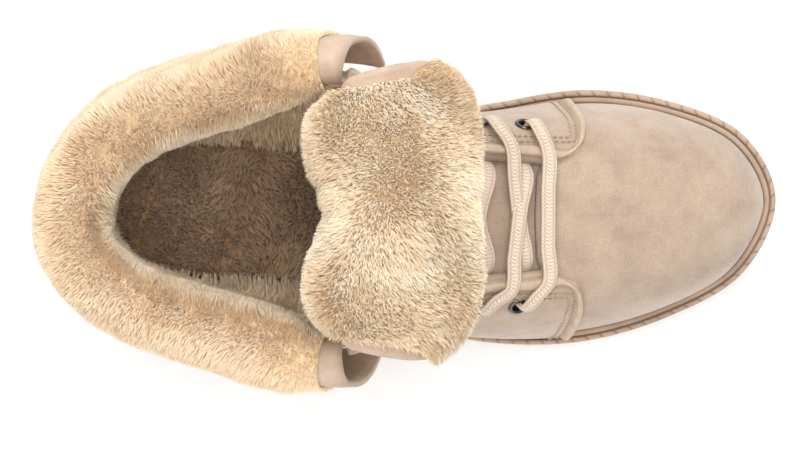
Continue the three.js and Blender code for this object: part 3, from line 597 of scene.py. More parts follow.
# Lacing panels, with their edges rolled over a cord, and the heel counter
print("panels")
panelLook = {"foot": 0.06, "bend": 16 / 3, "columns": 106, "rows": 84, "rollMm": 4.0, "rollHigh": 1.9,
             "body": 1.5, "cornerMm": 6.0, "seatMm": 0.25, "backMm": 0.05, "finer": 1.7}


def panelPlace(q, share):
    # Station and w on a lacing panel. q: from 3 to bend + 1 at the front edge. share: of the way up.
    forward = np.clip(q - panelLook["bend"], 0, 1)
    top = 0.985 - 0.205 * forward ** 2.4
    w = panelLook["foot"] + share * (top - panelLook["foot"])
    front = 5.86 + 0.8 * ((w - panelLook["foot"]) / 0.72) ** 2.2
    return np.minimum(q, panelLook["bend"]) + forward * (front - panelLook["bend"]), w


def edgeDistance(points):
    # Distance in mm from a panel's top and front edges, rounded where they meet.
    toTop, toFront = np.zeros(points.shape[:2]), np.zeros(points.shape[:2])
    up = np.linalg.norm(np.diff(points, axis=1), axis=-1)
    ahead = np.linalg.norm(np.diff(points, axis=0), axis=-1)
    toTop[:, :-1] = np.cumsum(up[:, ::-1], axis=1)[:, ::-1]
    toFront[:-1] = np.cumsum(ahead[::-1], axis=0)[::-1]
    away = panelLook["cornerMm"]
    both = np.hypot(np.clip(away - toTop, 0, None), np.clip(away - toFront, 0, None))
    near = np.minimum(toTop, toFront)
    return np.where(near < away, np.maximum(away - both, 0), near)


def rolled(distance):
    # Height of the roll over its cord, and of the panel with the groove beside the roll.
    half = panelLook["rollMm"] / 2
    roll = panelLook["rollHigh"] * np.sqrt(np.clip(1 - ((distance - half) / half) ** 2, 0, 1))
    groove = 0.6 * np.exp(-(((distance - panelLook["rollMm"] - 0.4) / 0.6) ** 2))
    return roll, panelLook["body"] * smooth(distance / 0.6) - groove


finer = panelLook["finer"]
panelQ = 3 + (panelLook["bend"] - 2) * (1 - (1 - np.linspace(0, 1, panelLook["columns"])) ** finer)
panelShare = 1 - (1 - np.linspace(0, 1, panelLook["rows"])) ** finer
panelStation, panelW = panelPlace(*np.meshgrid(panelQ, panelShare, indexing="ij"))
panelEdges = []
for outerSide in (False, True):
    uGrid = 18 - panelStation if outerSide else panelStation
    edge = edgeDistance(leather(uGrid, panelW))
    panelEdges.append(edge)
    name = "facing_outer" if outerSide else "facing_inner"
    roll, body = rolled(edge)
    height = panelLook["seatMm"] + body + roll * smooth((panelW - panelLook["foot"]) / 0.2)
    face, back = shifted(uGrid, panelW, height), shifted(uGrid, panelW, panelLook["backMm"])
    panel = shell(name + "_suede", face, back, panelSuede)
    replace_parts(panel, name)
    paintFaces(panel, face, (edge < panelLook["rollMm"] + 0.2) & (panelW > 0.16), bindingLeather)
    holes = [(a, b) for a, b, flat, side, _ in eyeletFrames() if flat and side == outerSide]
    cutHoles(panel, [holeTube(a, b, -9, 9) for a, b in holes])

counterLook = {"reach": 5 / 3, "foot": 0.06, "body": 1.5, "seatMm": 0.2, "backMm": 0.05}
counterReach = counterLook["reach"]


def counterTop(station):
    return 0.5 - 0.16 * smooth(np.abs(station) / counterReach)


counterStations = np.linspace(-counterReach, counterReach, 80)
sGrid, shareGrid = np.meshgrid(counterStations, np.linspace(0, 1, 40), indexing="ij")
wGrid = counterLook["foot"] + shareGrid * (counterTop(sGrid) - counterLook["foot"])
edge = np.minimum((counterTop(sGrid) - wGrid) * 104, (counterReach - np.abs(sGrid)) * 20)
face = shifted(sGrid, wGrid, counterLook["seatMm"] + counterLook["body"] * smooth(edge / 1.4))
back = shifted(sGrid, wGrid, counterLook["backMm"])
counter = shell("heel_counter_suede", face, back, panelSuede)
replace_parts(counter, "heel_counter")


# Stitches: short lengths of thread, each sunk at both ends
print("stitches")
stitchLook = {"length": 1.8, "pitch": 2.5, "radius": 0.34, "insets": (5.4, 8.2), "fromEnd": 0.12,
              "tone": 0.55}
stitchRings = [  # share along, share of the radius, lift in mm
    (0, 0.35, -0.15), (0.2, 0.9, 0.25), (0.5, 1.0, 0.42), (0.8, 0.9, 0.25), (1, 0.35, -0.15),
]


def stitchPiece(name, lines):
    vertices, faces = [], []
    half, pitch = stitchLook["length"] / 2, stitchLook["pitch"]
    for points, normals in lines:
        run = lengthAlong(points)
        for place in np.arange(pitch / 2, run[-1], pitch):
            wanted = ((place - half, points), (place + half, points), (place, normals))
            a, b, out = (np.array([np.interp(where, run, grid[:, k]) for k in range(3)])
                         for where, grid in wanted)
            normal = unit(out)
            side = np.cross(normal, unit(b - a))
            faces += ringFaces(len(stitchRings), 6, len(vertices), capped=True)
            for share, grow, lift in stitchRings:
                centre = a + (b - a) * share + normal * lift
                for k in range(6):
                    away = side * np.cos(k * np.pi / 3) + normal * np.sin(k * np.pi / 3)
                    vertices.append(centre + stitchLook["radius"] * grow * away)
    piece = buildMesh(name, vertices, faces, threadCotton)
    addValues(piece.data, "weave_shade", np.full(len(piece.data.vertices), stitchLook["tone"]))


def surfaceLine(u, w, offset):
    return shifted(u, w, offset), leatherNormal(u, w)


lines = []
for outerSide, edge in zip((False, True), panelEdges):
    for inset in stitchLook["insets"]:
        # Forward under the top edge, then down behind the front edge.
        topRun = [[np.interp(inset, edge[i, ::-1], grid[i, ::-1]) for grid in (panelStation, panelW)]
                  for i in range(4, panelLook["columns"]) if edge[i, 40] > inset]
        frontRun = [[np.interp(inset, edge[::-1, j], grid[::-1, j]) for grid in (panelStation, panelW)]
                    for j in range(np.searchsorted(panelShare, 0.955), 3, -1)]
        corner = frontRun[0][0] - stitchLook["fromEnd"]
        turn = next((k for k, (station, w) in enumerate(topRun) if station > corner), len(topRun))
        stations, heights = np.array(topRun[:turn] + frontRun).T
        height = panelLook["seatMm"] + panelLook["body"]
        lines.append(surfaceLine(18 - stations if outerSide else stations, heights, height))
height = counterLook["seatMm"] + counterLook["body"]
end = counterReach - stitchLook["fromEnd"]
s = np.linspace(-end, end, 70)
lines.append(surfaceLine(s, counterTop(s) - 0.03, height))
for station in (-end, end):
    lines.append(surfaceLine(np.full(30, station), np.linspace(0.08, 0.31, 30), height))
stitchPiece("panel_stitches", lines)


# Shearling: blades in locks over a knitted ground
def scatter(points, normals, tall, count):
    # Places, normals, direction along the rows and share of the length of count blades, even over the grid.
    du = points[1:, :-1] - points[:-1, :-1]
    dv = points[:-1, 1:] - points[:-1, :-1]
    area = np.linalg.norm(np.cross(du, dv), axis=-1).ravel()
    cell = rng.choice(len(area), count, p=area / area.sum())
    i, j = np.unravel_index(cell, du.shape[:2])
    s, t = rng.random((2, count, 1))

    def blend(grid):
        return (grid[i, j] * (1 - s) * (1 - t) + grid[i + 1, j] * s * (1 - t)
                + grid[i + 1, j + 1] * s * t + grid[i, j + 1] * (1 - s) * t)

    return blend(points), unit(blend(normals)), unit(dv[i, j]), blend(tall[..., None])


bladeTones = [0.12, 0.12, 0.5, 0.5, 0.72]


def growPile(name, points, normals, look, material, tall=None, clearOf=()):
    # tall: share of the pile's length over the grid. clearOf: axes of holes, each a centre and a direction.
    tall = np.ones(points.shape[:2]) if tall is None else tall
    roots, outs, combs, share = scatter(points, normals, tall, look["blades"])
    for centre, axis in clearOf:
        away = np.linalg.norm(np.cross(roots - centre, axis), axis=1)
        keep = (away > holeMm + 0.3) | (np.linalg.norm(roots - centre, axis=1) > 16)
        roots, outs, combs, share = roots[keep], outs[keep], combs[keep], share[keep]
    centres = roots[rng.choice(len(roots), max(4, len(roots) // look["perLock"]), replace=False)]
    tree = treeOf(centres)
    nearest = np.array([tree.find(Vector(root))[1] for root in roots])
    waves = rng.normal(size=(3, 3)) * 2 * math.pi / look["flowMm"]
    swirl = np.sin(roots @ waves + rng.random(3) * 6)
    gather = centres[nearest] - roots
    reach = np.linalg.norm(gather, axis=1, keepdims=True)
    lean = combs * look["comb"] + swirl * look["swirl"] + gather / look["lockMm"] * look["gather"]
    lean = lean + rng.normal(size=roots.shape) * look["stray"]
    lean -= outs * np.sum(lean * outs, axis=1, keepdims=True)
    domed = 1.08 - 0.16 * np.clip(reach / look["lockMm"], 0, 1)
    high = look["length"] * (1 - look["uneven"] * rng.random((len(roots), 1))) * domed * share
    # Each blade's broad face looks outwards, so that the pile shades like brushed plush.
    side = unit(np.cross(lean + rng.normal(size=roots.shape) * 0.12, outs)) * look["width"] / 2
    bottom = roots - outs * 0.4
    middle = roots + outs * high * 0.55 + lean * high * 0.3
    tip = roots + outs * high * 0.88 + lean * high * 0.85
    corners = [bottom - side, bottom + side, middle + side * 0.85, middle - side * 0.85, tip]
    vertices = np.stack(corners, axis=1).reshape(-1, 3)
    start = np.arange(len(roots)) * 5
    quads = np.stack([start, start + 1, start + 2, start + 3], axis=1)
    tips = np.stack([start + 3, start + 2, start + 4], axis=1)
    mesh = bpy.data.meshes.new(name)
    mesh.vertices.add(len(vertices))
    mesh.vertices.foreach_set("co", (vertices / 1000).astype(np.float32).ravel())
    corners = np.concatenate([quads.ravel(), tips.ravel()])
    mesh.loops.add(len(corners))
    mesh.loops.foreach_set("vertex_index", corners.astype(np.int32))
    starts = np.concatenate([np.arange(len(roots)) * 4, len(roots) * 4 + np.arange(len(roots)) * 3])
    mesh.polygons.add(len(starts))
    mesh.polygons.foreach_set("loop_start", starts.astype(np.int32))
    mesh.update(calc_edges=True)
    mesh.validate()
    mesh.shade_smooth()
    own = rng.random((len(roots), 1)) * 0.16 - 0.08 + rng.normal(size=(len(centres), 1))[nearest] * 0.05
    addValues(mesh, "tone", np.array([bladeTones]) + own)
    addPiece(mesh, material)


def normalsOf(points):
    du = np.gradient(points, axis=0)
    dv = np.gradient(points, axis=1)
    return unit(np.cross(du, dv))


print("collar fur")
collarLook = {"to": 2.8, "ground": 3.5, "low": 0.5, "perLock": 210, "lockMm": 11, "length": 5.2,
              "width": 0.45, "comb": 0.22, "flowMm": 60, "swirl": 0.2, "gather": 0.15, "stray": 0.15,
              "uneven": 0.12}


def collarGround(u, w):
    hem = smooth((2 - w) / 0.1)
    ends = smooth((collarLook["to"] - np.abs(u)) / 0.3)
    lumps = 0.7 * np.sin(9 * u + 4 * np.sin(11 * w)) * np.sin(23 * w + 3 * np.sin(5 * u))
    return collarLook["ground"] * (0.25 + 0.75 * np.minimum(hem, ends)) + lumps * np.minimum(hem, ends)


us = np.linspace(-collarLook["to"], collarLook["to"], 150)
downShaft, overFold, downFlap = ((collarLook["low"], 1, 30), (1, foldEnd, 16), (foldEnd, 1.985, 30))
ws = np.concatenate([np.linspace(*downShaft), np.linspace(*overFold)[1:], np.linspace(*downFlap)[1:]])
u, w = np.meshgrid(us, ws, indexing="ij")
outer = shifted(u, w, -boot["wall"] - collarGround(u, w))
ground = shell("collar_fur_ground", outer, shifted(u, w, -boot["wall"] - 0.1), collarBacking)
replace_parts(ground, "collar_fur")
collarHoles = [(a, b) for a, b, flat, *_ in eyeletFrames() if not flat]
cutHoles(ground, [holeTube(a, b, -14, 9) for a, b in collarHoles])
collarAxes = [frameOf(a, b)[:2] for a, b in collarHoles]
pileNormals = -leatherNormal(u, w)
fromEnds, fromHem = smooth((collarLook["to"] - np.abs(u)) / 0.55), smooth((2 - w) / 0.12)
collarTall = 0.35 + 0.65 * fromEnds * (0.4 + 0.6 * fromHem)
half = len(ws) // 2 - 6
for name, part, blades in (("inside", np.s_[:, :half + 1], 42000), ("outside", np.s_[:, half:], 53000)):
    look = {**collarLook, "blades": blades}
    growPile("collar_fur_" + name, outer[part], pileNormals[part], look, collarPile,
             collarTall[part], collarAxes)


print("lining and footbed")
liningLook = {**collarLook, "blades": 19000, "length": 5.2, "width": 0.75, "perLock": 90}
us = np.linspace(0, 18, 150)
ws = np.linspace(0.07, 0.93, 40)
u, w = np.meshgrid(us, ws, indexing="ij")
liningFace, liningBack = (shifted(u, w, -boot["wall"] - depth) for depth in (2.6, 0.1))
shell("lining_ground", liningFace[:-1], liningBack[:-1], collarBacking, True)
growPile("lining_pile", liningFace, -leatherNormal(u, w), liningLook, collarPile)


def stackRings(name, rings, material):
    # A closed body through rings that go round the boot, its two ends closed by chords.
    count = len(rings[0])
    faces = ringFaces(len(rings), count)
    for ring in (0, len(rings) - 1):
        for i in range(count // 2):
            corners = list(dict.fromkeys([i, i + 1, count - i - 1, (count - i) % count]))
            if len(corners) > 2:
                faces.append([ring * count + k for k in corners])
    return buildMesh(name, np.concatenate(rings), faces, material)


us = np.arange(180) / 10
bedTop, bedInset = boot["insoleThickness"], boot["weltWidth"] + boot["wall"] + 1
bedRings = []
for high, inset in ((0.9, 0), (3.0, 0), (5.0, 0.8), (bedTop, 3), (bedTop, 8), (bedTop - 1, 18)):
    ring = outline(us, np.full(len(us), bedInset + inset))
    ring[:, 2] = soleTop(ring[:, 0]) + high
    bedRings.append(ring)
bed = stackRings("footbed_ground", bedRings, footBacking)
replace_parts(bed, "insole")
footPileLook = {"blades": 23000, "length": 7.0, "perLock": 115, "lockMm": 10, "flowMm": 45, "swirl": 0.3,
                "comb": 0.1, "gather": 0.3, "stray": 0.14, "width": 0.72}
across = np.linspace(0, 1, 30)[None, :, None]
along = np.linspace(0.5, 8.5, 90)
left, right = (outline(side, np.full(90, bedInset + 2))[:, None, :] for side in (along, 18 - along))
bedFace = left * (1 - across) + right * across
bedFace[..., 2] = soleTop(bedFace[..., 0]) + bedTop - 0.6
bedUp = joinXyz(0 * bedFace[..., 0], 0, 1)
growPile("footbed_pile", bedFace, bedUp, {**liningLook, **footPileLook}, footPile)


# Outsole: sides in a moulded step and groove, blocks of tread underneath
print("outsole")
soleLook = {"columns": 252, "bevel": 0.7, "lugRoot": 1.2, "lugTaper": 0.0175}
soleSide = [  # share of the height, inset in mm
    (0, 3.2), (0, 2.4), (0.05, 1.7), (0.5, 0.1), (0.61, 0), (0.64, 0.3), (0.655, 1.3), (0.765, 1.3),
    (0.78, 0.3), (0.81, 0), (0.96, 0), (1, 0.5),
]
us = np.arange(soleLook["columns"]) * 18 / soleLook["columns"]
rings = []
for height, inset in soleSide:
    ring = outline(us, np.full(len(us), inset))
    low, high = soleBottom(ring[:, 0]), soleTop(ring[:, 0])
    ring[:, 2] = low + (high - low) * height
    rings.append(ring)
sole = stackRings("outsole_body", rings, soleRubber)
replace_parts(sole, "outsole")


def lugPoint(u, share, down):
    left, right = outline(np.array([u, 18 - u]), np.full(2, boot["treadInset"]))
    point = left + (right - left) * share
    point[2] = soleBottom(point[0]) + (-boot["treadDepth"] if down else soleLook["lugRoot"])
    return point


lugRows = [  # first and last station
    (0.75, 1.25), (1.42, 1.82), (1.96, 2.26), (2.4, 2.62), (2.74, 2.93), (4.55, 4.85), (5.02, 5.34),
    (5.52, 5.86), (6.04, 6.4), (6.58, 6.98), (7.16, 7.6), (7.8, 8.3),
]
lugQuads = ((0, 1, 2, 3), (7, 6, 5, 4), (0, 4, 5, 1), (1, 5, 6, 2), (2, 6, 7, 3), (3, 7, 4, 0))
work = bmesh.new()
for start, stop in lugRows:
    for left, right in ((0.02, 0.27), (0.34, 0.66), (0.73, 0.98)):
        corners = []
        for down in (True, False):
            grow = 0 if down else soleLook["lugTaper"]
            low, high, near, far = start - grow, stop + grow, left - grow, right + grow
            for u, share in ((low, near), (high, near), (high, far), (low, far)):
                corners.append(work.verts.new(lugPoint(u, share, down) / 1000))
        for quad in lugQuads:
            work.faces.new([corners[k] for k in quad])
bmesh.ops.recalc_face_normals(work, faces=work.faces)
lowEdges = [e for e in work.edges if any(abs(f.normal.z) > 0.9 for f in e.link_faces)]
bmesh.ops.bevel(work, geom=lowEdges, offset=soleLook["bevel"] / 1000, segments=2, affect="EDGES")
mesh = bpy.data.meshes.new("outsole_lugs")
work.to_mesh(mesh)
work.free()
mesh.shade_flat()
addPiece(mesh, soleRubber)


# Welt: a moulded strip, notched on the slant like a row of rope stitches
print("welt")
weltLook = {"notchMm": 6.0, "perNotch": 12, "depth": 0.9, "slant": 0.5}
fine = np.linspace(0, 18, 4001)
edgeLine = outline(fine, np.full(fine.shape, 1.0))
run = lengthAlong(edgeLine)
notches = round(run[-1] / weltLook["notchMm"])
slices = notches * weltLook["perNotch"]
us = np.interp(np.arange(slices) / slices * run[-1], run, fine)
section = [  # share of the way out, share of the thickness
    (0, 0), (1, 0), (1.02, 0.35), (1, 0.75), (0.92, 0.98), (0.78, 1.06), (0.64, 0.98), (0.57, 0.8),
    (0.53, 0.5), (0.49, 0.5), (0.45, 0.76), (0.38, 0.82), (0.2, 0.8), (0.07, 0.74), (0, 0.55),
]
innerLine, outerLine = (outline(us, np.full(us.shape, inset)) for inset in (boot["weltWidth"] - 0.2, 0.2))
grid = np.zeros((slices, len(section), 3))
shade = np.zeros((slices, len(section)))
for k, (share, high) in enumerate(section):
    grid[:, k] = innerLine + (outerLine - innerLine) * share
    beat = np.mod(np.arange(slices) / weltLook["perNotch"] + weltLook["slant"] * share, 1) - 0.5
    notch = np.exp(-((beat / 0.07) ** 2)) * (share > 0.55) * (high > 0.6)
    grid[:, k, 2] = soleTop(grid[:, k, 0]) + 0.1 + high * boot["weltThickness"] - weltLook["depth"] * notch
    # Painted shade: the notches, the groove and the inner edge by the upper are darker.
    shade[:, k] = np.maximum(0.85 * notch, 0.9 if 0.48 < share < 0.58 else 0.6 if share < 0.05 else 0)
welt = buildMesh("welt_strip", grid, ringFaces(slices, len(section), closed=True), soleRubber)
if len(welt.data.vertices) == shade.size:
    addValues(welt.data, "groove", shade)
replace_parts(welt, "welt")


# Tongue: smooth below the lacing, then bent over and hanging forwards, with leather bindings down its sides
print("tongue")
tongueTuck, tongueRoot, tongueTop = 0.12, 6.2, 4.05
tonguePath = np.array([  # in tongue widths: ahead, up, aside, wide, droop, sweep
    [-0.1, 0.13, 0, 0.58, 0.16, 0], [-0.17, 0.28, 0.02, 0.78, 0.13, -0.05],
    [-0.2, 0.41, 0.04, 0.93, 0.12, -0.1], [-0.17, 0.5, 0.05, 1.03, 0.12, -0.09],
    [-0.07, 0.53, 0.055, 1.09, 0.14, -0.04], [0.04, 0.49, 0.055, 1.13, 0.18, 0.02],
    [0.14, 0.4, 0.055, 1.14, 0.24, 0.05], [0.21, 0.3, 0.055, 1.05, 0.28, 0.06],
])
sidesAcross = np.linspace(0, 1, 9)


def tongueBridge(u, side, depth):
    # The part under the lacing: an arch from one side of the throat to the other, depth below its face.
    under = -boot["wall"] - 6 * boot["clearance"]
    ends = []
    for place in (u, 18 - u):
        one = np.array([place])
        point = (leather(one, 1 - tongueTuck) + leatherNormal(one, 1 - tongueTuck) * under)[0]
        rise = (leather(one, 1.0) + leatherNormal(one, 1.0) * (under - boot["clearance"]))[0] - point
        rise[0] *= smooth((tongueRoot - u) / 0.8)
        ends.append((point, unit(rise)))
    (a, riseA), (b, riseB) = ends
    handle = np.linalg.norm(b - a) * (0.12 + 0.22 * smooth((tongueRoot - u) / 1.1))
    p, q, t = a + riseA * handle, b + riseB * handle, side
    tangent = (p - a) * (1 - t) ** 2 + (q - p) * 2 * t * (1 - t) + (b - q) * t * t
    normal = unit(np.cross(tangent, [1, 0, -0.55]))
    return bezier(a, p, q, b, t) - (normal if normal[2] > 0 else -normal) * depth


tongueEnd = tongueBridge(tongueTop, 0.5, 0)


def tongueCentre(k):
    ahead, up, aside = tonguePath[k][:3] * boot["tongueWidth"]
    return tongueEnd * [1, 1 - 0.6 * k / 7, 1] + [ahead, aside, up]


def tongueUpper(k, side):
    # The part that bends over: row k of the path, side from 0 to 1 across.
    here, last = tongueCentre(k), len(tonguePath) - 1
    before = tongueCentre(k - 1) if k else tongueEnd
    after = tongueCentre(k + 1) if k < last else 2 * here - before
    along = unit(after - before)
    faceOut = np.array([-along[2], 0, along[0]])
    across = 1 - 2 * side
    wide, droop, sweep = tonguePath[k][3:]
    half = wide * boot["tongueWidth"] / 2
    slope = math.atan(2 * droop * across)
    away = faceOut * math.cos(slope) + np.array([0, math.sin(slope), 0])
    lobe = math.sin(math.pi * across / 1.3) ** 2
    sideways = np.array([sweep * boot["tongueWidth"] * lobe, across * half * math.cos(slope * 0.5), 0])
    return here + sideways - faceOut * droop * half * across ** 2 + away * boot["tongueWall"]


lowStations = [tongueRoot + (tongueTop - tongueRoot) * k / 6 for k in range(7)]
coarse = np.array(
    [[tongueBridge(u, side, boot["tongueWall"]) for side in sidesAcross] for u in lowStations]
    + [[tongueUpper(k, side) for side in sidesAcross] for k in range(len(tonguePath))])


def refine(grid, axis, count):
    # Cubic spline through a grid of points, along one axis.
    places = np.linspace(0, grid.shape[axis] - 1, count)
    cell = np.minimum(places.astype(int), grid.shape[axis] - 2)
    t = (places - cell).reshape((-1, 1, 1) if axis == 0 else (1, -1, 1))
    cells = (np.clip(cell + k, 0, grid.shape[axis] - 1) for k in (-1, 0, 1, 2))
    return spline(*(np.take(grid, k, axis=axis) for k in cells), t)


furRows, furColumns = 150, 80
furFace = refine(refine(coarse, 0, furRows), 1, furColumns)
furNormal = normalsOf(furFace)
if furNormal[-20, 40, 2] < 0:
    furNormal = -furNormal
rowsDown = np.linspace(0, 14, furRows)[:, None]
acrossShare = np.linspace(0, 1, furColumns)[None, :]
edgeMm = np.minimum(acrossShare, 1 - acrossShare) * 100
binding = 1.5 * np.sqrt(np.clip(1 - ((edgeMm - 2.4) / 2.4) ** 2, 0, 1)) * smooth((rowsDown - 6.5) / 1.5)
near = furFace + furNormal * (0.1 + binding)[..., None]
far = furFace - furNormal * (boot["tongueWall"] - 0.6 + binding * 0.6)[..., None]
tonguePiece = shell("tongue_leather", near, far, bindingLeather)
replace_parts(tonguePiece, "tongue")
underLacing = (furFace[..., 0] > tongueEnd[0] - 6) & (furFace[..., 2] < tongueEnd[2] + 8)
paintFaces(tonguePiece, furFace, underLacing, vampSuede)

print("tongue fur")
tongueFurLook = {**collarLook, "ground": 3.6, "blades": 46500, "inset": 5, "first": 62, "length": 5.4}
first = tongueFurLook["first"]
insets = tongueFurLook["inset"] * (1 - 0.9 * smooth((np.arange(first, furRows) - 124) / 18))
spread = insets[:, None] + np.linspace(0, 1, 70)[None, :] * (furColumns - 1 - 2 * insets[:, None])
cell = np.minimum(spread.astype(int), furColumns - 2)
rowsHere = np.arange(first, furRows)[:, None]
between = (spread - cell)[..., None]
face, normal = (grid[rowsHere, cell] * (1 - between) + grid[rowsHere, cell + 1] * between
                for grid in (furFace, furNormal))
normal = unit(normal)
i, j = np.meshgrid(np.linspace(0, 1, face.shape[0]), np.linspace(0, 1, face.shape[1]), indexing="ij")
swell = smooth(np.minimum(j, 1 - j) / 0.09) * smooth(np.minimum(i, 1 - i) / 0.05)
lumps = 0.7 * np.sin(40 * i + 3 * np.sin(9 * j)) * np.sin(26 * j + 3 * np.sin(14 * i))
top = face + normal * (0.4 + (tongueFurLook["ground"] + lumps) * (0.2 + 0.8 * swell))[..., None]
tongueGround = shell("tongue_fur_ground", top, face + normal * 0.1, collarBacking)
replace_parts(tongueGround, "tongue_fur")
growPile("tongue_fur_pile", top, normal, tongueFurLook, tonguePile)


# Laces: flat braid, straight over the first row and crossing over the rest
print("laces")
laceLook = {"stepMm": 0.48, "around": 40, "braidMm": 1.4, "threadMm": 1.24, "relief": 0.2, "underEdge": 0.25}


def laceRoute(start, stop, lift):
    # Ends are (row, outer side, hidden), as in the part's source.
    over = boot["seam"] + boot["overlay"] + boot["piping"] + boot["laceThickness"]
    over += boot["clearance"] * (1.6 + max(start[0], stop[0]))
    ends = []
    for row, outerSide, hidden in (start, stop):
        station, *insets, ahead = lacing[row]
        w = 1 - insets[outerSide]

        def off(forward, w, away):
            u = np.array([18 - station - forward if outerSide else station + forward])
            return (leather(u, w) + leatherNormal(u, w) * away)[0]

        out = leatherNormal(np.array([18 - station if outerSide else station]), w)[0]
        if hidden:
            inward = np.array([0, 5 if outerSide else -5, 0])
            path = [off(laceLook["underEdge"], 1, -boot["wall"] - 2) - inward * 0.3,
                    off(laceLook["underEdge"], 1, 0.4) + inward]
        else:
            path = [off(0, w, boot["overlay"] - 0.8), off(0.12 * ahead, w + 0.02, over - 1.6),
                    off(ahead / 2, (w + 1) / 2, over), off(ahead, 1, over)]
        ends.append((path, out))
    (pathA, outA), (pathB, outB) = ends
    middle = [pathA[-1] + (pathB[-1] - pathA[-1]) * t + np.array([0, 0, 1.2 + lift]) for t in (0.3, 0.7)]
    route = np.array(pathA + middle + pathB[::-1])
    places = lengthAlong(route)
    chords = np.diff(places)
    t = np.linspace(0, places[-1], max(40, int(places[-1] / laceLook["stepMm"])))
    tangents = np.gradient(route, places, axis=0)
    cell = np.clip(np.searchsorted(places, t, side="right") - 1, 0, len(chords) - 1)
    h = chords[cell][:, None]
    q = (t[:, None] - places[cell][:, None]) / h
    points = (route[cell] * (2 * q ** 3 - 3 * q ** 2 + 1) + tangents[cell] * h * (q ** 3 - 2 * q ** 2 + q)
              + route[cell + 1] * (3 * q ** 2 - 2 * q ** 3) + tangents[cell + 1] * h * (q ** 3 - q ** 2))
    share = np.linspace(0, 1, len(t))[:, None]
    middleness = 1 - np.abs(2 * share - 1)
    outs = unit(np.where(share < 0.5, outA, outB) * (1 - middleness) + np.array([0.45, 0, 0.9]) * middleness)
    return points, outs, (not start[2], not stop[2])


def lacePiece(name, strands, node):
    # squeezed: whether each end of a strand is pinched in an eyelet.
    vertices, faces, weaveShades = [], [], []
    around = laceLook["around"]
    turn = np.linspace(0, 2 * np.pi, around, endpoint=False)
    flatX = np.sign(np.cos(turn)) * np.abs(np.cos(turn)) ** 0.55 * boot["laceWidth"] / 2
    flatY = np.sign(np.sin(turn)) * np.abs(np.sin(turn)) ** 0.75 * boot["laceThickness"] / 2
    for points, outs, squeezed in strands:
        ahead = unit(np.gradient(points, axis=0))
        wide = unit(np.cross(ahead, outs))
        thick = np.cross(wide, ahead)
        run = lengthAlong(points)[:, None]
        threads = flatX[None, :] / laceLook["threadMm"]
        slope = 2 * np.abs(np.mod(threads + 0.5, 1) - 0.5)
        braid = np.abs(np.sin(np.pi * (run / laceLook["braidMm"] + 1.1 * slope)))
        gap = np.abs(np.cos(np.pi * threads)) ** 0.8
        relief = laceLook["relief"] * (braid * gap - 0.5)
        narrow = 1 - 0.4 * (1 - smooth(run / 5)) * squeezed[0]
        narrow = narrow - 0.4 * (1 - smooth((run[-1] - run) / 5)) * squeezed[1]
        across = wide[:, None] * flatX[None, :, None] * narrow[..., None]
        upward = thick[:, None] * (flatY[None, :] + np.sign(flatY)[None, :] * relief)[..., None]
        faces += ringFaces(len(points), around, len(weaveShades), capped=True)
        vertices += (points[:, None] + across + upward).reshape(-1, 3).tolist()
        # Painted shade: the same number as the relief, so the braid's hollows come out darker.
        weaveShades += (braid * gap).ravel().tolist()
    mesh = newMesh(name, vertices, faces)
    turnOutwards(mesh, False)
    addValues(mesh, "weave_shade", weaveShades)
    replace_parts(addPiece(mesh, laceBraid), node)


bar = laceRoute((0, False, False), (0, True, False), boot["laceThickness"])
lacePiece("lace_bar_braid", [bar], "lace_bar")
for row in range(3):
    top = laceRoute((row, False, True), (row + 1, True, False), boot["laceThickness"] * (0.8 + row))
    below = laceRoute((row + 1, False, False), (row, True, True), boot["laceThickness"] * row)
    lacePiece(f"lace_crossing_{row + 1}_braid", [top, below], f"lace_crossing_{row + 1}")


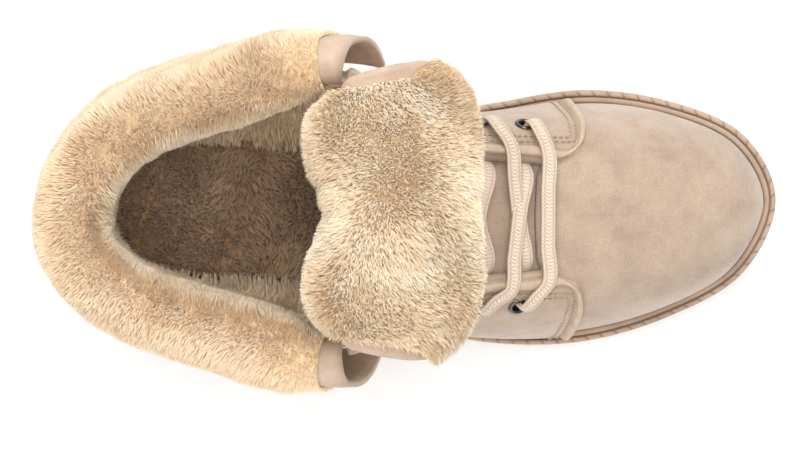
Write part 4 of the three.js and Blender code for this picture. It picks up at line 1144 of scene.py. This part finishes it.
# Eyelets: pressed rings, rolled over at the outer face
print("eyelets")
eyeletLook = {"around": 40}
ringProfile = [  # radius, height over the leather
    (2.4, -2.6), (2.95, -2.6), (2.95, 0.1), (4, 0.1), (4.05, 0.35), (3.8, 0.72), (3.35, 0.95), (2.9, 0.95),
    (2.55, 0.7), (2.4, 0.3),
]
turns = np.linspace(0, 2 * np.pi, eyeletLook["around"], endpoint=False)
faces = ringFaces(len(turns), len(ringProfile), closed=True)
for a, b, flat, outerSide, row in eyeletFrames():
    centre, out, side, other = frameOf(a, b)
    centre = centre + out * (panelLook["seatMm"] + panelLook["body"] if flat else 0)
    points = []
    for t in turns:
        away = math.cos(t) * side + math.sin(t) * other
        points += [centre + out * high + radius * away for radius, high in ringProfile]
    node = f"eyelet_{'outer' if outerSide else 'inner'}_{row + 1}"
    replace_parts(buildMesh(node + "_ring", points, faces, eyeletMetal), node)


# Floor, light and camera
print("stage")
stageLook = {"key": 15, "fill": 10, "overhead": 12, "sky": 0.62, "lensMm": 165.9, "distance": 1.475,
             "tiltDeg": 3.5, "target": (0.0865, -0.008, 0.025)}
floorMesh = bpy.data.meshes.new("floor")
floorMesh.from_pydata([(-6, -6, 0), (6, -6, 0), (6, 6, 0), (-6, 6, 0)], [], [[0, 1, 2, 3]])
matt = {"Roughness": 0.95, "Specular IOR Level": 0.1}
paper, tree, shader, place = startMaterial("backdrop paper, matt", matt)
colourBy(tree, shader, addNoise(tree, place, 30), [(0.2, "#FBFBFB"), (0.8, "#FFFFFF")])
floorMesh.materials.append(paper)
floor = addObject("floor", floorMesh)


def addArea(name, place, aim, size, power):
    lamp = bpy.data.lights.new(name, "AREA")
    lamp.shape, lamp.size, lamp.energy = "DISK", size, power
    holder = addObject(name, lamp)
    holder.location = place
    holder.rotation_euler = (Vector(aim) - Vector(place)).to_track_quat("-Z", "Y").to_euler()


addArea("key light", (0.25, 1.15, 1.25), (0.09, 0, 0.04), 0.9, stageLook["key"])
addArea("fill light", (-0.5, -1.3, 1.3), (0.09, 0, 0.04), 1.4, stageLook["fill"])
addArea("overhead softbox", (0.05, 0.05, 1.55), (0.05, 0, 0), 0.9, stageLook["overhead"])
world = bpy.data.worlds.new("studio")
world.use_nodes = True
sky = world.node_tree.nodes["Background"].inputs
sky["Color"].default_value = (1, 1, 1, 1)
sky["Strength"].default_value = stageLook["sky"]
bpy.context.scene.world = world
bpy.context.scene.view_settings.view_transform = "Standard"

camera = bpy.data.cameras.new("camera")
camera.lens, camera.sensor_width = stageLook["lensMm"], 36
camera.clip_end = 20
holder = addObject("camera", camera)
tilt = math.radians(stageLook["tiltDeg"])
target = Vector(stageLook["target"])
holder.location = target + Vector((0, math.sin(tilt), math.cos(tilt))) * stageLook["distance"]
holder.rotation_euler = (-tilt, 0, 0)
bpy.context.scene.camera = holder

print("done")
